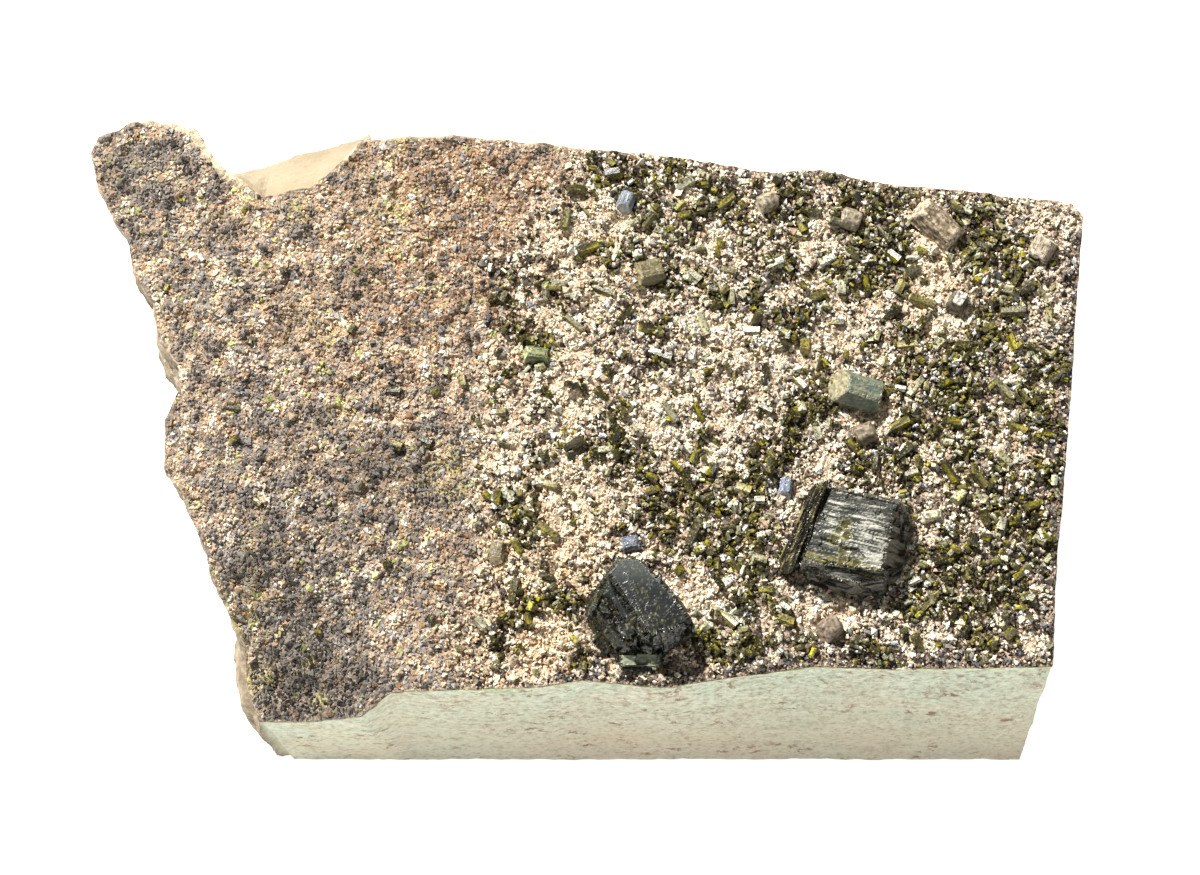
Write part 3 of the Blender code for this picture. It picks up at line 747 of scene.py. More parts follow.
def rock_tint(x, y, z, side):
    """The rock's main colour: cream in the scar, tan on the broken sides, greenest below the druse."""
    top = face_height(x, y)
    drift = 0.5 + 0.5 * noise.noise(Vector((x / 9.0, y / 9.0, z / 9.0)))
    if in_notch(x, side) or (side == "left" and y > 18.0):
        return blend(ROCK_CREAM, ROCK_TAN, 0.35 * smooth((top - z - 2.0) / 12.0))
    if side in ("back", "left"):
        grain = noise.fractal(Vector((x, y, z)) / 1.3, 0.7, 2.2, 4)
        share = 0.25 + 0.3 * drift + 0.6 * grain
        return blend(ROCK_TAN, ROCK_CREAM, min(max(share, 0.0), 1.0))
    low = smooth((top - z) / 16.0)
    colour = blend(ROCK_GREEN, ROCK_BEIGE, min(low * (0.35 + 0.8 * drift), 1.0))
    under = max(0.35 + 0.9 * waves(x, y, 3.0, 9.0), 0.0)
    return blend(colour, ROCK_UNDER, under * smooth(1.0 - (top - z - 0.8) / 0.8))


def make_host_rock(rim):
    """The slab of host rock, finely divided, in place of its solid."""
    ring = divided(rim, ROCK_STEP)
    edges = loop_edges(len(ring))
    interior = inside_places(rim)
    points = [(x, y, face_height(x, y) - LIP_DEPTH) for x, y, _ in ring]
    points += [(x, y, crust_floor(x, y, rim) - GAP) for x, y in interior]
    sides = [side for _, _, side in ring] + ["front"] * len(interior)
    flat = [Vector(point[:2]) for point in points]
    faces = [tuple(face) for face in delaunay_2d_cdt(flat, edges, [], INSIDE_ONLY, MERGE)[2]]
    tops = [crust_floor(x, y, rim) - GAP for x, y, _ in ring]
    last = add_rock_sides(points, sides, faces, ring, tops)
    base = [Vector(points[index][:2]) for index in last]
    bottom = delaunay_2d_cdt(base, edges, [], INSIDE_ONLY, MERGE)
    if len(bottom[0]) == len(ring):
        faces += [tuple(last[index] for index in reversed(face)) for face in bottom[2]]
    else:
        faces.append(tuple(reversed(last)))
    mesh = new_mesh("host_rock", points, faces)
    outward_faces(mesh)
    colours = [tuple(rock_tint(*point, side)) for point, side in zip(points, sides)]
    kinds = [rock_kind(point[0], side) for point, side in zip(points, sides)]
    set_colours(mesh, np.array(colours), np.array(kinds))
    return add_piece(mesh, rock_material(), "host_rock", ["matrix_rock"])


def add_rock_sides(points, sides, faces, ring, tops):
    """Adds the lip under the crust's edge and the walls, and gives the lowest row of points."""
    last = list(range(len(ring)))
    rows = [("lip", k / LIP_ROWS) for k in range(1, LIP_ROWS + 1)]
    rows += [("wall", k / WALL_ROWS) for k in range(1, WALL_ROWS + 1)]
    for kind, share in rows:
        lower = list(range(len(points), len(points) + len(ring)))
        for index, (x, y, side) in enumerate(ring):
            out = wide_outward(ring, index)
            if kind == "lip":
                place = Vector((x, y, points[index][2] + (tops[index] - points[index][2]) * share))
            else:
                place = Vector(wall_point(ring, index, out, tops[index], share))
            points.append(roughened(place, out, side))
            sides.append(side)
        faces += band(last, lower)
        last = lower
    return last


# The ground of the druse, which shows between the grains

GROUND_STEP = 2.15
GROUND_CUTS = 3
SKIRT_DEPTH = 0.95
SKIRT_ROWS = 3
# Painted shade on the crust's front and right side: their colours are scaled by this share
SKIRT_SHADE = 0.3
SKIRT_TUCK = 0.3
SKIRT_LUMP = 0.8
SKIRT_LAYER = 0.5
SKIRT_WOBBLE = 0.16
SKIRT_PUSH = 0.04
SHADED_SKIRT_X = -20.0
SHADED_SKIRT_Y = 18.0
# Darkening along the crust's front and right rim: partly painted shade, partly the dark grains there
RIM_SHADE_AND_DARK_GRAIN_REACH = 1.0
RIM_SHADE_AND_DARK_GRAIN = 0.75
KNOT_SIZE = 1.6
KNOT_HEIGHT = 0.42
GRAIN_LUMP = 0.7
LEFT_TAN = linear(190, 166, 142)
LEFT_GREY = linear(128, 120, 112)
LEFT_BROWN = linear(176, 134, 98)
LEFT_YELLOW = linear(214, 204, 130)
DRUSE_CREAM = linear(240, 218, 188)
# Painted shade: the druse's ground where it shows in the gaps between grains, most of it among the green
# clumps
DRUSE_SHADE = linear(84, 74, 52)


def knots(x, y):
    """Clumps of grains a millimetre or two across, finer than the lumps of the solids."""
    place = Vector((x / KNOT_SIZE, y / KNOT_SIZE, 6.1))
    return KNOT_HEIGHT * noise.fractal(place, 0.7, 2.2, 3)


def ground_height(x, y):
    """The druse face with clumps, and the grains as small round lumps."""
    lump = noise.voronoi(Vector((x / GRAIN_LUMP, y / GRAIN_LUMP, 1.7)))[0][0]
    rise = (0.14 + 0.12 * druse_share(x, y)) * (0.55 - lump)
    return face_height(x, y) + roughness(x, y) + knots(x, y) + rise


BARE_RIM = [
    (-41.0, 28.9, 0.8, 1.0), (-39.6, 28.7, 0.8, 1.0), (-38.2, 28.3, 0.9, 1.0), (-36.9, 27.8, 0.9, 1.0),
    (-35.7, 26.8, 1.0, 1.0), (-34.8, 25.6, 1.0, 1.0), (-33.9, 24.4, 1.0, 1.0), (-33.0, 23.4, 0.9, 1.0),
    (-32.0, 22.6, 0.8, 1.0), (-30.9, 21.9, 0.7, 1.0),
]
RIM_CREAM = linear(226, 210, 178)
RIM_LINE = 0.22


def bare_share(xy, away):
    """Where the crust's rim is bare stone without grains: 1 there, 0 elsewhere."""
    wander = ripple(xy, 0.9, 41.0)
    bare = np.clip(2.4 * (field(xy, BARE_RIM) - 0.45 + 0.5 * wander), 0.0, 1.0)
    back = (xy[:, 1] > 19.0) & (xy[:, 0] > -22.0) & (xy[:, 0] < 8.0)
    return np.maximum(bare, back * np.clip((RIM_LINE + 0.2 * wander - away) / 0.1, 0.0, 1.0))


def make_ground(rim):
    """The crust's own mass, finely divided, in place of its solid."""
    points, triples = sheet(rim, GROUND_STEP, 5)
    for _ in range(GROUND_CUTS):
        points, triples = quartered(points, triples)
    faces = [tuple(face) for face in triples.tolist()]
    vertices = [(x, y, ground_height(x, y)) for x, y in points.tolist()]
    lowest = add_skirt(vertices, faces, edge_ring(triples))
    add_underside(vertices, faces, lowest, rim)
    mesh = new_mesh("druse_base", vertices, faces)
    outward_faces(mesh)
    set_colours(mesh, *ground_tints(np.array(vertices)[:, :2], len(points), rim))
    return add_piece(mesh, ground_material(), "druse", ["druse_crust"])


def add_skirt(vertices, faces, ring):
    """Adds the crust's outer side below its edge, and gives the lowest row of its points."""
    places = [vertices[index][:2] for index in ring]
    count = len(ring)
    # The ring may run either way round, so the outward side is found from its area
    area = sum(places[k - 1][0] * places[k][1] - places[k][0] * places[k - 1][1] for k in range(count))
    turn = 1.0 if area < 0.0 else -1.0
    last = ring
    for row in range(1, SKIRT_ROWS + 1):
        lower = list(range(len(vertices), len(vertices) + count))
        drop = SKIRT_DEPTH * row / SKIRT_ROWS
        for k, index in enumerate(ring):
            x, y, z = vertices[index]
            out = wide_outward(places, k) * turn
            wobble = noise.noise(Vector((x / SKIRT_LUMP, y / SKIRT_LUMP, drop / SKIRT_LAYER)))
            push = SKIRT_WOBBLE * wobble + SKIRT_PUSH - SKIRT_TUCK * (row / SKIRT_ROWS) ** 2
            vertices.append((x + push * out.x, y + push * out.y, z - drop))
        faces += band(last, lower)
        last = lower
    return last


def add_underside(vertices, faces, lowest, rim):
    """Closes the crust below. Its underside follows the face too, so it has points of its own."""
    interior = inside_places(rim)
    base = [Vector(vertices[index][:2]) for index in lowest] + [Vector(place) for place in interior]
    below = lowest + list(range(len(vertices), len(vertices) + len(interior)))
    vertices += [(x, y, crust_floor(x, y, rim)) for x, y in interior]
    bottom = delaunay_2d_cdt(base, loop_edges(len(lowest)), [], INSIDE_ONLY, MERGE)
    faces += [tuple(below[index] for index in reversed(face)) for face in bottom[2]]


def ground_tints(xy, top_count, rim):
    """The crust's colours and its share of grain; the first top_count places are on its face. Its front and
    right side carry painted shade, and its front rim is darker, partly painted shade and partly dark
    grains.
    """
    away = rim_fields(xy, rim)[1]
    bare = bare_share(xy, away)
    colours = np.array([ground_colour(x, y) for x, y in xy.tolist()])
    colours += (np.array(RIM_CREAM) - colours) * bare[:, None]
    skirt = (np.arange(len(xy)) >= top_count) & (xy[:, 0] > SHADED_SKIRT_X) & (xy[:, 1] < SHADED_SKIRT_Y)
    # Painted shade on the crust's front and right side
    colours[skirt] *= SKIRT_SHADE
    # Darker along the front rim: partly painted shade, partly dark grains
    front = front_rim(xy, away, RIM_SHADE_AND_DARK_GRAIN_REACH) * ~skirt
    colours *= 1.0 - RIM_SHADE_AND_DARK_GRAIN * front[:, None]
    coarse = np.array([druse_share(x, y) for x, y in xy.tolist()])
    cream = np.clip(field(xy, CREAM_SPREADS), 0.0, 1.0)
    return colours, (1.0 - bare) * (0.55 + 0.45 * coarse) * (1.0 - 0.45 * cream * coarse)


def druse_mix(x, y):
    """The druse share with a ragged border, for what grows on the face."""
    broad = 3.2 * waves(x, y, 3.4, 33.0)
    fine = 1.8 * waves(x, y, 1.2, 35.0)
    return druse_share(x + (broad + fine), y)


def ground_colour(x, y):
    """The main colour of the crust's mass at a place."""
    coarse = druse_mix(x, y)
    drift = waves(x, y, 2.6, 4.0)
    fine = waves(x, y, 1.1, 14.0)
    grey = smooth(patches(x, y, GREY_PATCHES) + 0.30 + 0.9 * drift + 0.7 * fine)
    orange = smooth(patches(x, y, ORANGE_PATCHES) - 0.5 * drift)
    left = blend(blend(LEFT_TAN, LEFT_GREY, grey), LEFT_BROWN, 0.6 * orange)
    left = blend(left, LEFT_YELLOW, min(0.7 * patches(x, y, YELLOW_PATCHES), 0.8))
    clump = min(patches(x, y, GREEN_CLUMPS), 1.0)
    # Painted shade: the druse's ground darkens towards the shade colour in the green clumps and in random
    # patches
    cream = smooth(0.62 + 0.5 * patches(x, y, CREAM_SPREADS) + 0.7 * drift + 0.5 * fine - 0.9 * clump)
    right = blend(DRUSE_SHADE, DRUSE_CREAM, cream)
    return tuple(blend(left, right, coarse))


# Grains and prisms, each sort one mesh

BARE_LIMIT = 0.3
RIM_ROOM = 0.6
MOST_LEAN = 50.0
MOST_ROLL = 0.6
FRONT_RIM_X = -2.0
FRONT_RIM_Y = 16.0
GREY_RIM_REACH = 1.6
GREY_PALES_REACH = 1.3
GREY_PALES_X = 8.0
PALE_MARGIN = 0.05
LIGHTEST = 0.95

# The shapes of one grain and of one small prism before they are scaled, about a millimetre across
CHIP = np.array([(1, 0, 0), (-1, 0, 0), (0, 1, 0), (0, -1, 0), (0, 0, 1), (0, 0, -1)], float) * 0.62
CHIP_FACES = np.array([
    (0, 2, 4), (2, 1, 4), (1, 3, 4), (3, 0, 4), (2, 0, 5), (1, 2, 5), (3, 1, 5), (0, 3, 5),
])
PRISM_SECTION = [(-0.5, -0.1), (-0.26, 0.5), (0.26, 0.5), (0.5, 0.05), (0.28, -0.5), (-0.28, -0.5)]
PRISM = np.array([
    (end * (0.5 - 0.07 * (1.0 + 2.0 * z * end)), y, z) for end in (-1.0, 1.0) for y, z in PRISM_SECTION
])
PRISM_FACES = np.array(
    [(k, (k + 1) % 6, (k + 1) % 6 + 6) for k in range(6)]
    + [(k, (k + 1) % 6 + 6, k + 6) for k in range(6)]
    + [(0, k + 1, k) for k in range(1, 5)] + [(6, k + 6, k + 7) for k in range(1, 5)]
)


def matrices(rows):
    """One 3 by 3 matrix for each place, from rows of arrays."""
    return np.stack([np.stack(row, -1) for row in rows], 1)


def leaning(count, chance):
    """Rotation matrices for prisms that lie on the face, turned any way and leaned a little."""
    turn = chance.uniform(0.0, math.pi, count)
    lean = np.radians(chance.normal(0.0, 0.5, count).clip(-1.0, 1.0) * MOST_LEAN)
    roll = chance.uniform(-MOST_ROLL, MOST_ROLL, count)
    return yaw_lean_roll(turn, lean, roll)


def spins(count, chance):
    """Rotation matrices that turn each grain any way round."""
    quaternion = chance.normal(size=(count, 4))
    quaternion /= np.linalg.norm(quaternion, axis=1, keepdims=True)
    w, x, y, z = quaternion.T
    return matrices([
        [1 - 2 * (y * y + z * z), 2 * (x * y - z * w), 2 * (x * z + y * w)],
        [2 * (x * y + z * w), 1 - 2 * (x * x + z * z), 2 * (y * z - x * w)],
        [2 * (x * z - y * w), 2 * (y * z + x * w), 1 - 2 * (x * x + y * y)],
    ])


def yaw_lean_roll(turn, lean, roll):
    """Rotation matrices from arrays of angles about Z, then Y, then X."""
    one = np.ones_like(turn)
    zero = np.zeros_like(turn)
    ct, st = np.cos(turn), np.sin(turn)
    cl, sl = np.cos(lean), np.sin(lean)
    cr, sr = np.cos(roll), np.sin(roll)
    about_z = matrices([[ct, -st, zero], [st, ct, zero], [zero, zero, one]])
    about_y = matrices([[cl, zero, sl], [zero, one, zero], [-sl, zero, cl]])
    about_x = matrices([[one, zero, zero], [zero, cr, -sr], [zero, sr, cr]])
    return about_z @ about_y @ about_x


def grain_mesh(name, places, sizes, turns, colours, shape, faces, chance, wobble):
    """One closed polyhedron for each place, all in one mesh, each with its own colour and UV cell."""
    count = len(places)
    jitter = 1.0 + wobble * chance.uniform(-1.0, 1.0, (count, len(shape), 3))
    corners = shape[None] * jitter * sizes[:, None, :]
    corners = np.einsum("nij,nvj->nvi", turns, corners) + places[:, None, :]
    offsets = (np.arange(count) * len(shape))[:, None, None]
    mesh = new_mesh(name, corners.reshape(-1, 3), (faces[None] + offsets).reshape(-1, 3))
    set_colours(mesh, np.repeat(colours, len(shape), axis=0))
    across = math.ceil(math.sqrt(count))
    cell = np.stack([np.arange(count) % across, np.arange(count) // across], 1) / across
    face_uv = np.array([(0.15, 0.15), (0.85, 0.15), (0.5, 0.85)]) / across
    uv = cell[:, None, None, :] + np.broadcast_to(face_uv, (count, len(faces), 3, 2))
    layer = mesh.uv_layers.new(name="OFBake")
    layer.data.foreach_set("uv", uv.ravel().astype(np.float32))
    return mesh


def scatter(step, chance, rim):
    """Places on a jittered grid inside the rim."""
    low_x, high_x, low_y, high_y = SHEET_FIELD
    x, y = np.meshgrid(np.arange(low_x, high_x, step), np.arange(low_y, high_y, step))
    xy = np.stack([x.ravel(), y.ravel()], 1)
    xy += chance.uniform(-0.5, 0.5, xy.shape) * step
    return xy[rim_fields(xy, rim)[0]]


BIG_OUTLINES = [
    [(20.6, -7.4), (29.3, -8.5), (29.5, -11.6), (28.7, -14.5), (27.5, -16.8), (24.3, -17.2), (20.6, -16.0),
     (18.1, -15.0), (18.0, -13.9)],
    [(2.4, -14.8), (5.4, -14.4), (9.2, -18.5), (9.9, -20.5), (8.4, -21.8), (6.9, -23.2), (3.4, -23.4),
     (1.4, -22.0), (-0.1, -19.5)],
]


def clear_of_crystals(xy, margin):
    """Whether each place is clear of the crystals that stand alone, seen from above."""
    keep = np.ones(len(xy), bool)
    for (x, y), (length, width, _), turn, _, _ in LONE_CRYSTALS.values():
        angle = math.radians(turn)
        dx = xy[:, 0] - x
        dy = xy[:, 1] - y
        along = dx * math.cos(angle) + dy * math.sin(angle)
        across = dy * math.cos(angle) - dx * math.sin(angle)
        keep &= (np.abs(along) > 0.42 * length + margin) | (np.abs(across) > 0.5 * width + margin)
    for outline in BIG_OUTLINES:
        hit, away = rim_fields(xy, outline)
        keep &= ~hit | (away < -margin)
    return keep


def pick(weights, colours, chance, spread, rank=None):
    """A colour for each row of weights, drawn by its share; a little lighter or darker each.

    With a rank from 0 to 1 the colours follow it in their order, so neighbours look alike.
    """
    total = np.cumsum(weights, axis=1)
    draw = chance.uniform(0.0, 1.0, len(weights)) if rank is None else rank
    draw = draw * total[:, -1]
    which = (draw[:, None] > total).sum(axis=1)
    shade = np.exp(chance.normal(0.0, spread, len(weights)))[:, None]
    return np.clip(np.array(colours)[which] * shade, 0.0, LIGHTEST)


def field(xy, table):
    """The sum of round soft patches at many places."""
    total = np.zeros(len(xy))
    for x, y, radius, weight in table:
        total += weight * np.exp(-((xy[:, 0] - x) ** 2 + (xy[:, 1] - y) ** 2) / radius ** 2)
    return total


def rank_at(xy, sizes, layer, chance, free):
    """Evenly spread values from 0 to 1 in patches of two sizes, with some freedom for each grain."""
    value = cloud(xy, sizes[0], layer) + 0.75 * cloud(xy, sizes[1], layer + 1.5)
    value += chance.normal(0.0, free, len(xy))
    order = np.empty(len(xy))
    order[np.argsort(value, kind="stable")] = np.arange(len(xy))
    return order / len(xy)


def cloud(xy, size, layer):
    """Smooth noise from 0 to 1 at many places."""
    values = [waves(x, y, size, layer) for x, y in xy.tolist()]
    return np.clip(0.5 + 0.8 * np.array(values), 0.0, 1.0)


def ripple(xy, size, layer):
    """The same noise from -0.5 to 0.5."""
    return cloud(xy, size, layer) - 0.5


# Colours of the fine grains at the left, and of the druse's own grains, with painted glints and reflections
# among them
# The last of the left colours, near-white, is a painted glint
LEFT_COLOURS = [
    linear(86, 80, 73), linear(118, 111, 106), linear(144, 138, 133), linear(168, 161, 153),
    linear(152, 120, 88), linear(192, 162, 133), linear(208, 187, 160), linear(178, 184, 116),
    linear(216, 203, 182), linear(242, 238, 232),
]
DRUSE_PALES = [
    linear(92, 80, 70), linear(150, 140, 134), linear(208, 180, 153), linear(243, 220, 194),
    linear(250, 233, 211), linear(255, 251, 244),
]
# The last of the dark colours, a bright yellow-green, is a painted glint
DRUSE_DARKS = [
    linear(32, 29, 28), linear(66, 63, 64), linear(104, 88, 70), linear(92, 88, 36), linear(104, 104, 114),
    linear(160, 152, 40),
]
# Prism colours: the fifth, bright yellow-green, is a painted glint; the sixth, pale sage, a painted sky
# reflection; the last two, blue-white and white, painted glints
GREENS = [
    linear(62, 57, 34), linear(92, 85, 52), linear(142, 138, 112), linear(38, 34, 24), linear(144, 136, 44),
    linear(190, 188, 164), linear(178, 184, 200), linear(236, 232, 220),
]

# Soft round patches on the face: x, y, radius and weight
GREY_PATCHES = [
    (-27.0, -13.0, 7.0, 0.9), (-17.0, -6.0, 6.0, 0.8), (-24.0, -24.0, 6.0, 1.3), (-40.0, 23.0, 6.0, 0.6),
    (-29.0, -1.0, 6.0, 0.5), (-8.0, -16.0, 5.0, 0.4), (-36.0, 12.0, 4.0, 0.3),
]
# Painted shade: patches where the left grains are darkened, for shadowed undulations and crevices
SHADE_PATCHES = [
    (-25.0, -24.5, 4.0, 1.0), (-29.0, -23.0, 3.0, 0.7), (-19.5, -24.0, 3.0, 0.5), (-17.0, -5.5, 2.6, 0.5),
    (-27.5, -11.0, 3.5, 0.4), (-44.0, 24.0, 3.0, 0.4), (-7.5, 14.0, 2.0, 0.3), (-14.6, -6.2, 1.6, 0.7),
    (-29.6, -14.0, 2.0, 0.6), (-22.5, -26.0, 2.0, 0.7), (-20.1, 23.9, 1.3, 0.5), (-4.7, 23.9, 1.2, 0.6),
    (-8.0, 21.1, 1.5, 0.5), (-23.8, 11.0, 1.3, 0.5), (-20.1, 13.4, 1.2, 0.5), (-10.0, 8.7, 1.2, 0.5),
    (-17.8, -2.9, 1.2, 0.5), (-23.3, 0.0, 1.2, 0.5), (-32.5, 2.3, 1.3, 0.5),
]
ORANGE_PATCHES = [
    (-12.0, 20.0, 9.0, 1.0), (-4.0, 16.0, 7.0, 0.6), (-24.0, 8.0, 6.0, 0.6), (-14.0, 6.0, 6.0, 0.4),
    (-21.0, -6.0, 5.0, 0.4), (-12.0, -12.0, 5.0, 0.5),
]
YELLOW_PATCHES = [
    (-17.6, 18.6, 1.8, 1.6), (-12.0, -5.8, 2.2, 1.4), (-26.4, 18.8, 1.3, 1.0), (-38.2, -7.5, 1.6, 1.0),
    (-31.5, -18.0, 2.5, 0.7), (-31.0, -23.5, 2.0, 0.7), (-22.0, 0.2, 1.4, 0.6), (-25.0, 9.5, 1.8, 0.6),
    (-29.5, -16.0, 0.6, 2.0), (-30.4, -17.5, 0.6, 2.0), (-30.6, -23.6, 0.6, 2.0), (-28.8, -23.3, 0.6, 2.0),
    (-23.9, -25.5, 0.6, 2.0), (-16.2, -11.7, 0.6, 2.0), (-16.4, -13.9, 0.6, 2.0), (-24.8, -21.8, 0.6, 1.6),
    (-30.4, -11.7, 0.7, 1.2), (-16.7, 25.3, 0.6, 2.0), (-21.4, 25.2, 0.7, 1.6), (-31.1, 20.5, 0.8, 1.6),
    (-17.4, 14.5, 0.9, 1.2), (-23.3, 7.1, 0.9, 1.0),
]

# Where the druse's green clumps and cream masses are: x, y and radius
GREEN_CLUMPS = [(x, y, radius, 1.0) for x, y, radius in (
    (20.3, 20.5, 1.5), (18.9, 18.3, 1.4), (25.5, 20.5, 1.8), (28.4, 20.6, 1.6), (24.3, 18.1, 1.5),
    (28.0, 18.3, 1.4), (28.2, 16.4, 1.3), (25.9, 15.5, 1.7), (28.0, 14.6, 1.8), (23.0, 13.4, 1.2),
    (25.9, 12.4, 1.9), (29.2, 11.6, 1.2), (35.7, 17.7, 1.7), (37.6, 19.6, 1.1), (37.2, 15.5, 1.9),
    (40.0, 13.2, 1.8), (35.9, 13.4, 1.3), (38.6, 9.3, 1.8), (37.2, 7.6, 1.6), (29.9, 6.5, 1.3),
    (32.0, 4.1, 2.1), (35.5, 3.7, 2.1), (42.3, 4.8, 1.7), (43.9, 3.6, 1.1), (41.7, 2.2, 1.3),
    (34.5, 0.6, 2.2), (29.2, 2.6, 1.5), (18.9, 8.2, 1.7), (18.5, 13.6, 1.3), (16.0, 10.6, 1.1),
    (15.4, 16.4, 1.3), (26.2, 6.1, 0.9), (19.9, 0.6, 1.3), (32.5, -0.6, 1.7), (30.1, -0.9, 1.3),
    (28.7, -3.4, 1.4), (25.0, -5.4, 1.2), (29.2, -6.2, 1.7), (34.1, -2.2, 1.7), (36.8, -6.2, 2.6),
    (40.8, 0.2, 1.6), (42.0, -2.0, 1.4), (42.6, -5.7, 1.4), (39.2, -9.5, 2.1), (41.4, -12.0, 1.7),
    (33.0, -11.8, 1.6), (32.0, -14.7, 2.0), (35.3, -16.2, 2.2), (38.4, -15.8, 2.1), (32.7, -17.4, 1.4),
    (29.6, -17.6, 1.5), (25.2, -21.8, 1.3), (27.0, -22.6, 1.3), (36.5, -21.0, 1.5), (3.2, 23.4, 1.2),
    (1.6, 21.3, 0.8), (4.4, 21.6, 1.0), (6.1, 20.8, 1.1), (8.6, 22.0, 1.3), (5.1, 19.3, 1.0),
    (6.0, 17.8, 1.1), (10.6, 18.1, 1.4), (8.5, 15.4, 1.2), (4.9, 14.4, 1.4), (2.4, 13.5, 1.1),
    (7.8, 12.0, 1.2), (-7.6, 12.0, 1.3), (-7.0, 9.9, 0.9), (-2.8, 11.3, 0.9), (-1.4, 10.1, 0.9),
    (12.0, 20.6, 1.1), (13.2, 19.0, 1.0), (12.7, 10.3, 1.0), (10.9, 12.4, 0.9), (-6.3, 7.4, 1.3),
    (-3.6, 6.3, 1.2), (-4.2, 4.0, 0.8), (-6.6, 3.2, 0.7), (3.5, 0.0, 0.8), (2.4, -3.7, 1.9),
    (5.0, -4.7, 1.5), (-4.2, -4.1, 0.9), (-4.7, -6.3, 0.9), (-6.7, -8.2, 1.3), (-5.8, -10.5, 1.7),
    (-3.8, -11.4, 1.0), (8.0, -7.0, 1.3), (4.6, -10.1, 0.8), (6.7, 4.5, 1.0), (7.0, 7.7, 1.1),
    (-5.0, -17.8, 1.2), (-6.1, -19.6, 1.0), (-7.2, -21.6, 1.2), (-2.0, -17.2, 1.0), (19.3, 8.0, 1.3),
    (22.0, 9.3, 0.9), (21.7, 3.2, 0.8), (21.7, -0.2, 1.3), (19.0, -2.5, 1.3), (17.7, -4.3, 1.4),
    (16.0, -5.7, 1.4), (11.1, -2.7, 0.9), (14.9, -8.0, 1.9), (10.3, -7.0, 1.2), (6.8, -8.6, 1.3),
    (10.9, -10.2, 2.0), (8.1, -11.0, 1.1), (15.3, -11.1, 2.0), (12.0, -12.9, 1.7), (15.6, -13.8, 1.5),
    (15.1, -17.0, 1.7), (17.7, -18.4, 1.2), (12.7, -21.1, 2.1), (16.0, -20.9, 1.3), (10.4, -20.9, 1.4),
    (19.7, -21.3, 1.3), (-0.6, -17.6, 1.2), (0.2, -22.6, 1.0),
)]
CREAM_SPREADS = [(x, y, radius, 1.0) for x, y, radius in (
    (33.0, 14.0, 1.9), (31.8, 14.9, 1.3), (30.7, 10.6, 1.7), (33.2, 10.6, 2.1), (27.4, 9.4, 1.5),
    (35.3, 9.0, 1.3), (33.4, 7.6, 1.9), (34.2, 5.9, 1.4), (22.9, 16.2, 1.3), (21.0, 15.3, 1.2),
    (27.6, 4.0, 1.2), (27.6, -0.6, 1.4), (17.2, 10.4, 1.3), (21.0, 10.8, 1.6), (23.5, 9.2, 1.4),
    (17.4, 5.2, 1.7), (44.0, 18.4, 1.8), (43.8, 8.6, 1.3), (19.5, 22.0, 1.2), (3.6, 17.6, 1.6),
    (-0.2, 12.6, 1.6), (-4.4, 9.6, 1.7), (2.2, 19.6, 1.3), (0.4, 17.6, 1.5), (3.6, 11.4, 1.2),
    (9.6, 20.4, 1.0), (12.0, 14.9, 1.7), (1.8, 9.6, 1.5), (6.6, 9.6, 1.5), (-1.8, 15.4, 1.5),
    (-7.4, 5.6, 1.8), (-3.3, -9.4, 1.6), (-1.4, -12.3, 1.4), (-0.8, -5.4, 1.9), (-2.3, 3.0, 1.8),
    (5.0, -1.4, 2.0), (-1.2, 7.0, 2.0), (8.0, 1.6, 2.0), (-5.0, -15.8, 1.8), (-4.0, -20.6, 1.7),
    (-1.6, -21.0, 1.8), (-8.6, -12.8, 1.4), (9.6, -16.2, 1.3), (10.7, 7.6, 2.6), (14.2, 6.8, 1.6),
    (18.4, 4.2, 1.7), (17.7, 10.6, 1.3), (23.4, 6.4, 1.7), (8.7, -1.4, 2.3), (12.2, -5.0, 1.6),
    (14.6, -1.6, 1.7), (13.1, 3.6, 2.2), (10.9, -18.2, 1.7), (19.4, -18.8, 1.2), (24.4, -0.8, 1.3),
    (22.0, -5.6, 1.0), (31.7, -21.0, 2.2), (41.2, -17.0, 1.3), (37.2, -3.4, 1.1), (40.4, -21.6, 1.2),
    (-9.4, 1.6, 1.5), (-7.8, -1.8, 1.6), (0.6, 2.6, 1.6), (1.0, -9.4, 1.4),
    (-5.5, -3.5, 2.0), (-6.5, -6.0, 1.5), (0.5, -7.0, 2.2), (-2.0, -10.5, 2.2), (13.5, -18.5, 1.9),
    (16.7, -18.9, 1.5), (18.7, -20.3, 1.5), (-1.0, 0.0, 2.0), (21.5, -18.0, 1.8), (24.0, -18.8, 1.5),
)]

# More soft patches of the druse, and how the peach ones change its colours
DRUSE_GREY_PATCHES = [
    (11.0, 5.8, 5.0, 0.9), (5.4, 6.3, 4.0, 0.7), (14.7, 22.7, 3.0, 0.8), (19.4, 8.7, 2.5, 0.6),
    (9.6, -1.9, 3.0, 0.7), (14.7, -23.0, 2.5, 0.8), (26.0, -20.0, 4.0, 1.0), (33.0, -22.0, 3.5, 1.2),
    (40.0, -18.0, 4.0, 0.9), (43.0, 6.0, 4.0, 0.8), (20.0, -16.0, 3.0, 0.4), (44.0, -13.0, 3.0, 0.8),
    (45.0, 14.0, 2.5, 0.8), (44.5, -4.0, 2.5, 0.6), (20.0, -23.0, 2.5, 1.0), (39.0, -23.0, 3.0, 1.2),
]
PEACH_PATCHES = [
    (-6.0, -14.0, 7.0, 0.9), (-2.0, -20.0, 5.0, 0.8), (-8.0, -20.0, 5.0, 0.8), (0.0, 15.0, 5.0, 0.6),
    (-6.0, 6.0, 5.0, 0.6), (3.0, -8.0, 5.0, 0.4), (31.0, 12.0, 6.0, 0.4),
]
PEACH = (1.03, 0.92, 0.80)


def surface_z(xy):
    """The height of the face that grains stand on, at many places."""
    return np.array([face_height(x, y) + roughness(x, y) + knots(x, y) for x, y in xy.tolist()])


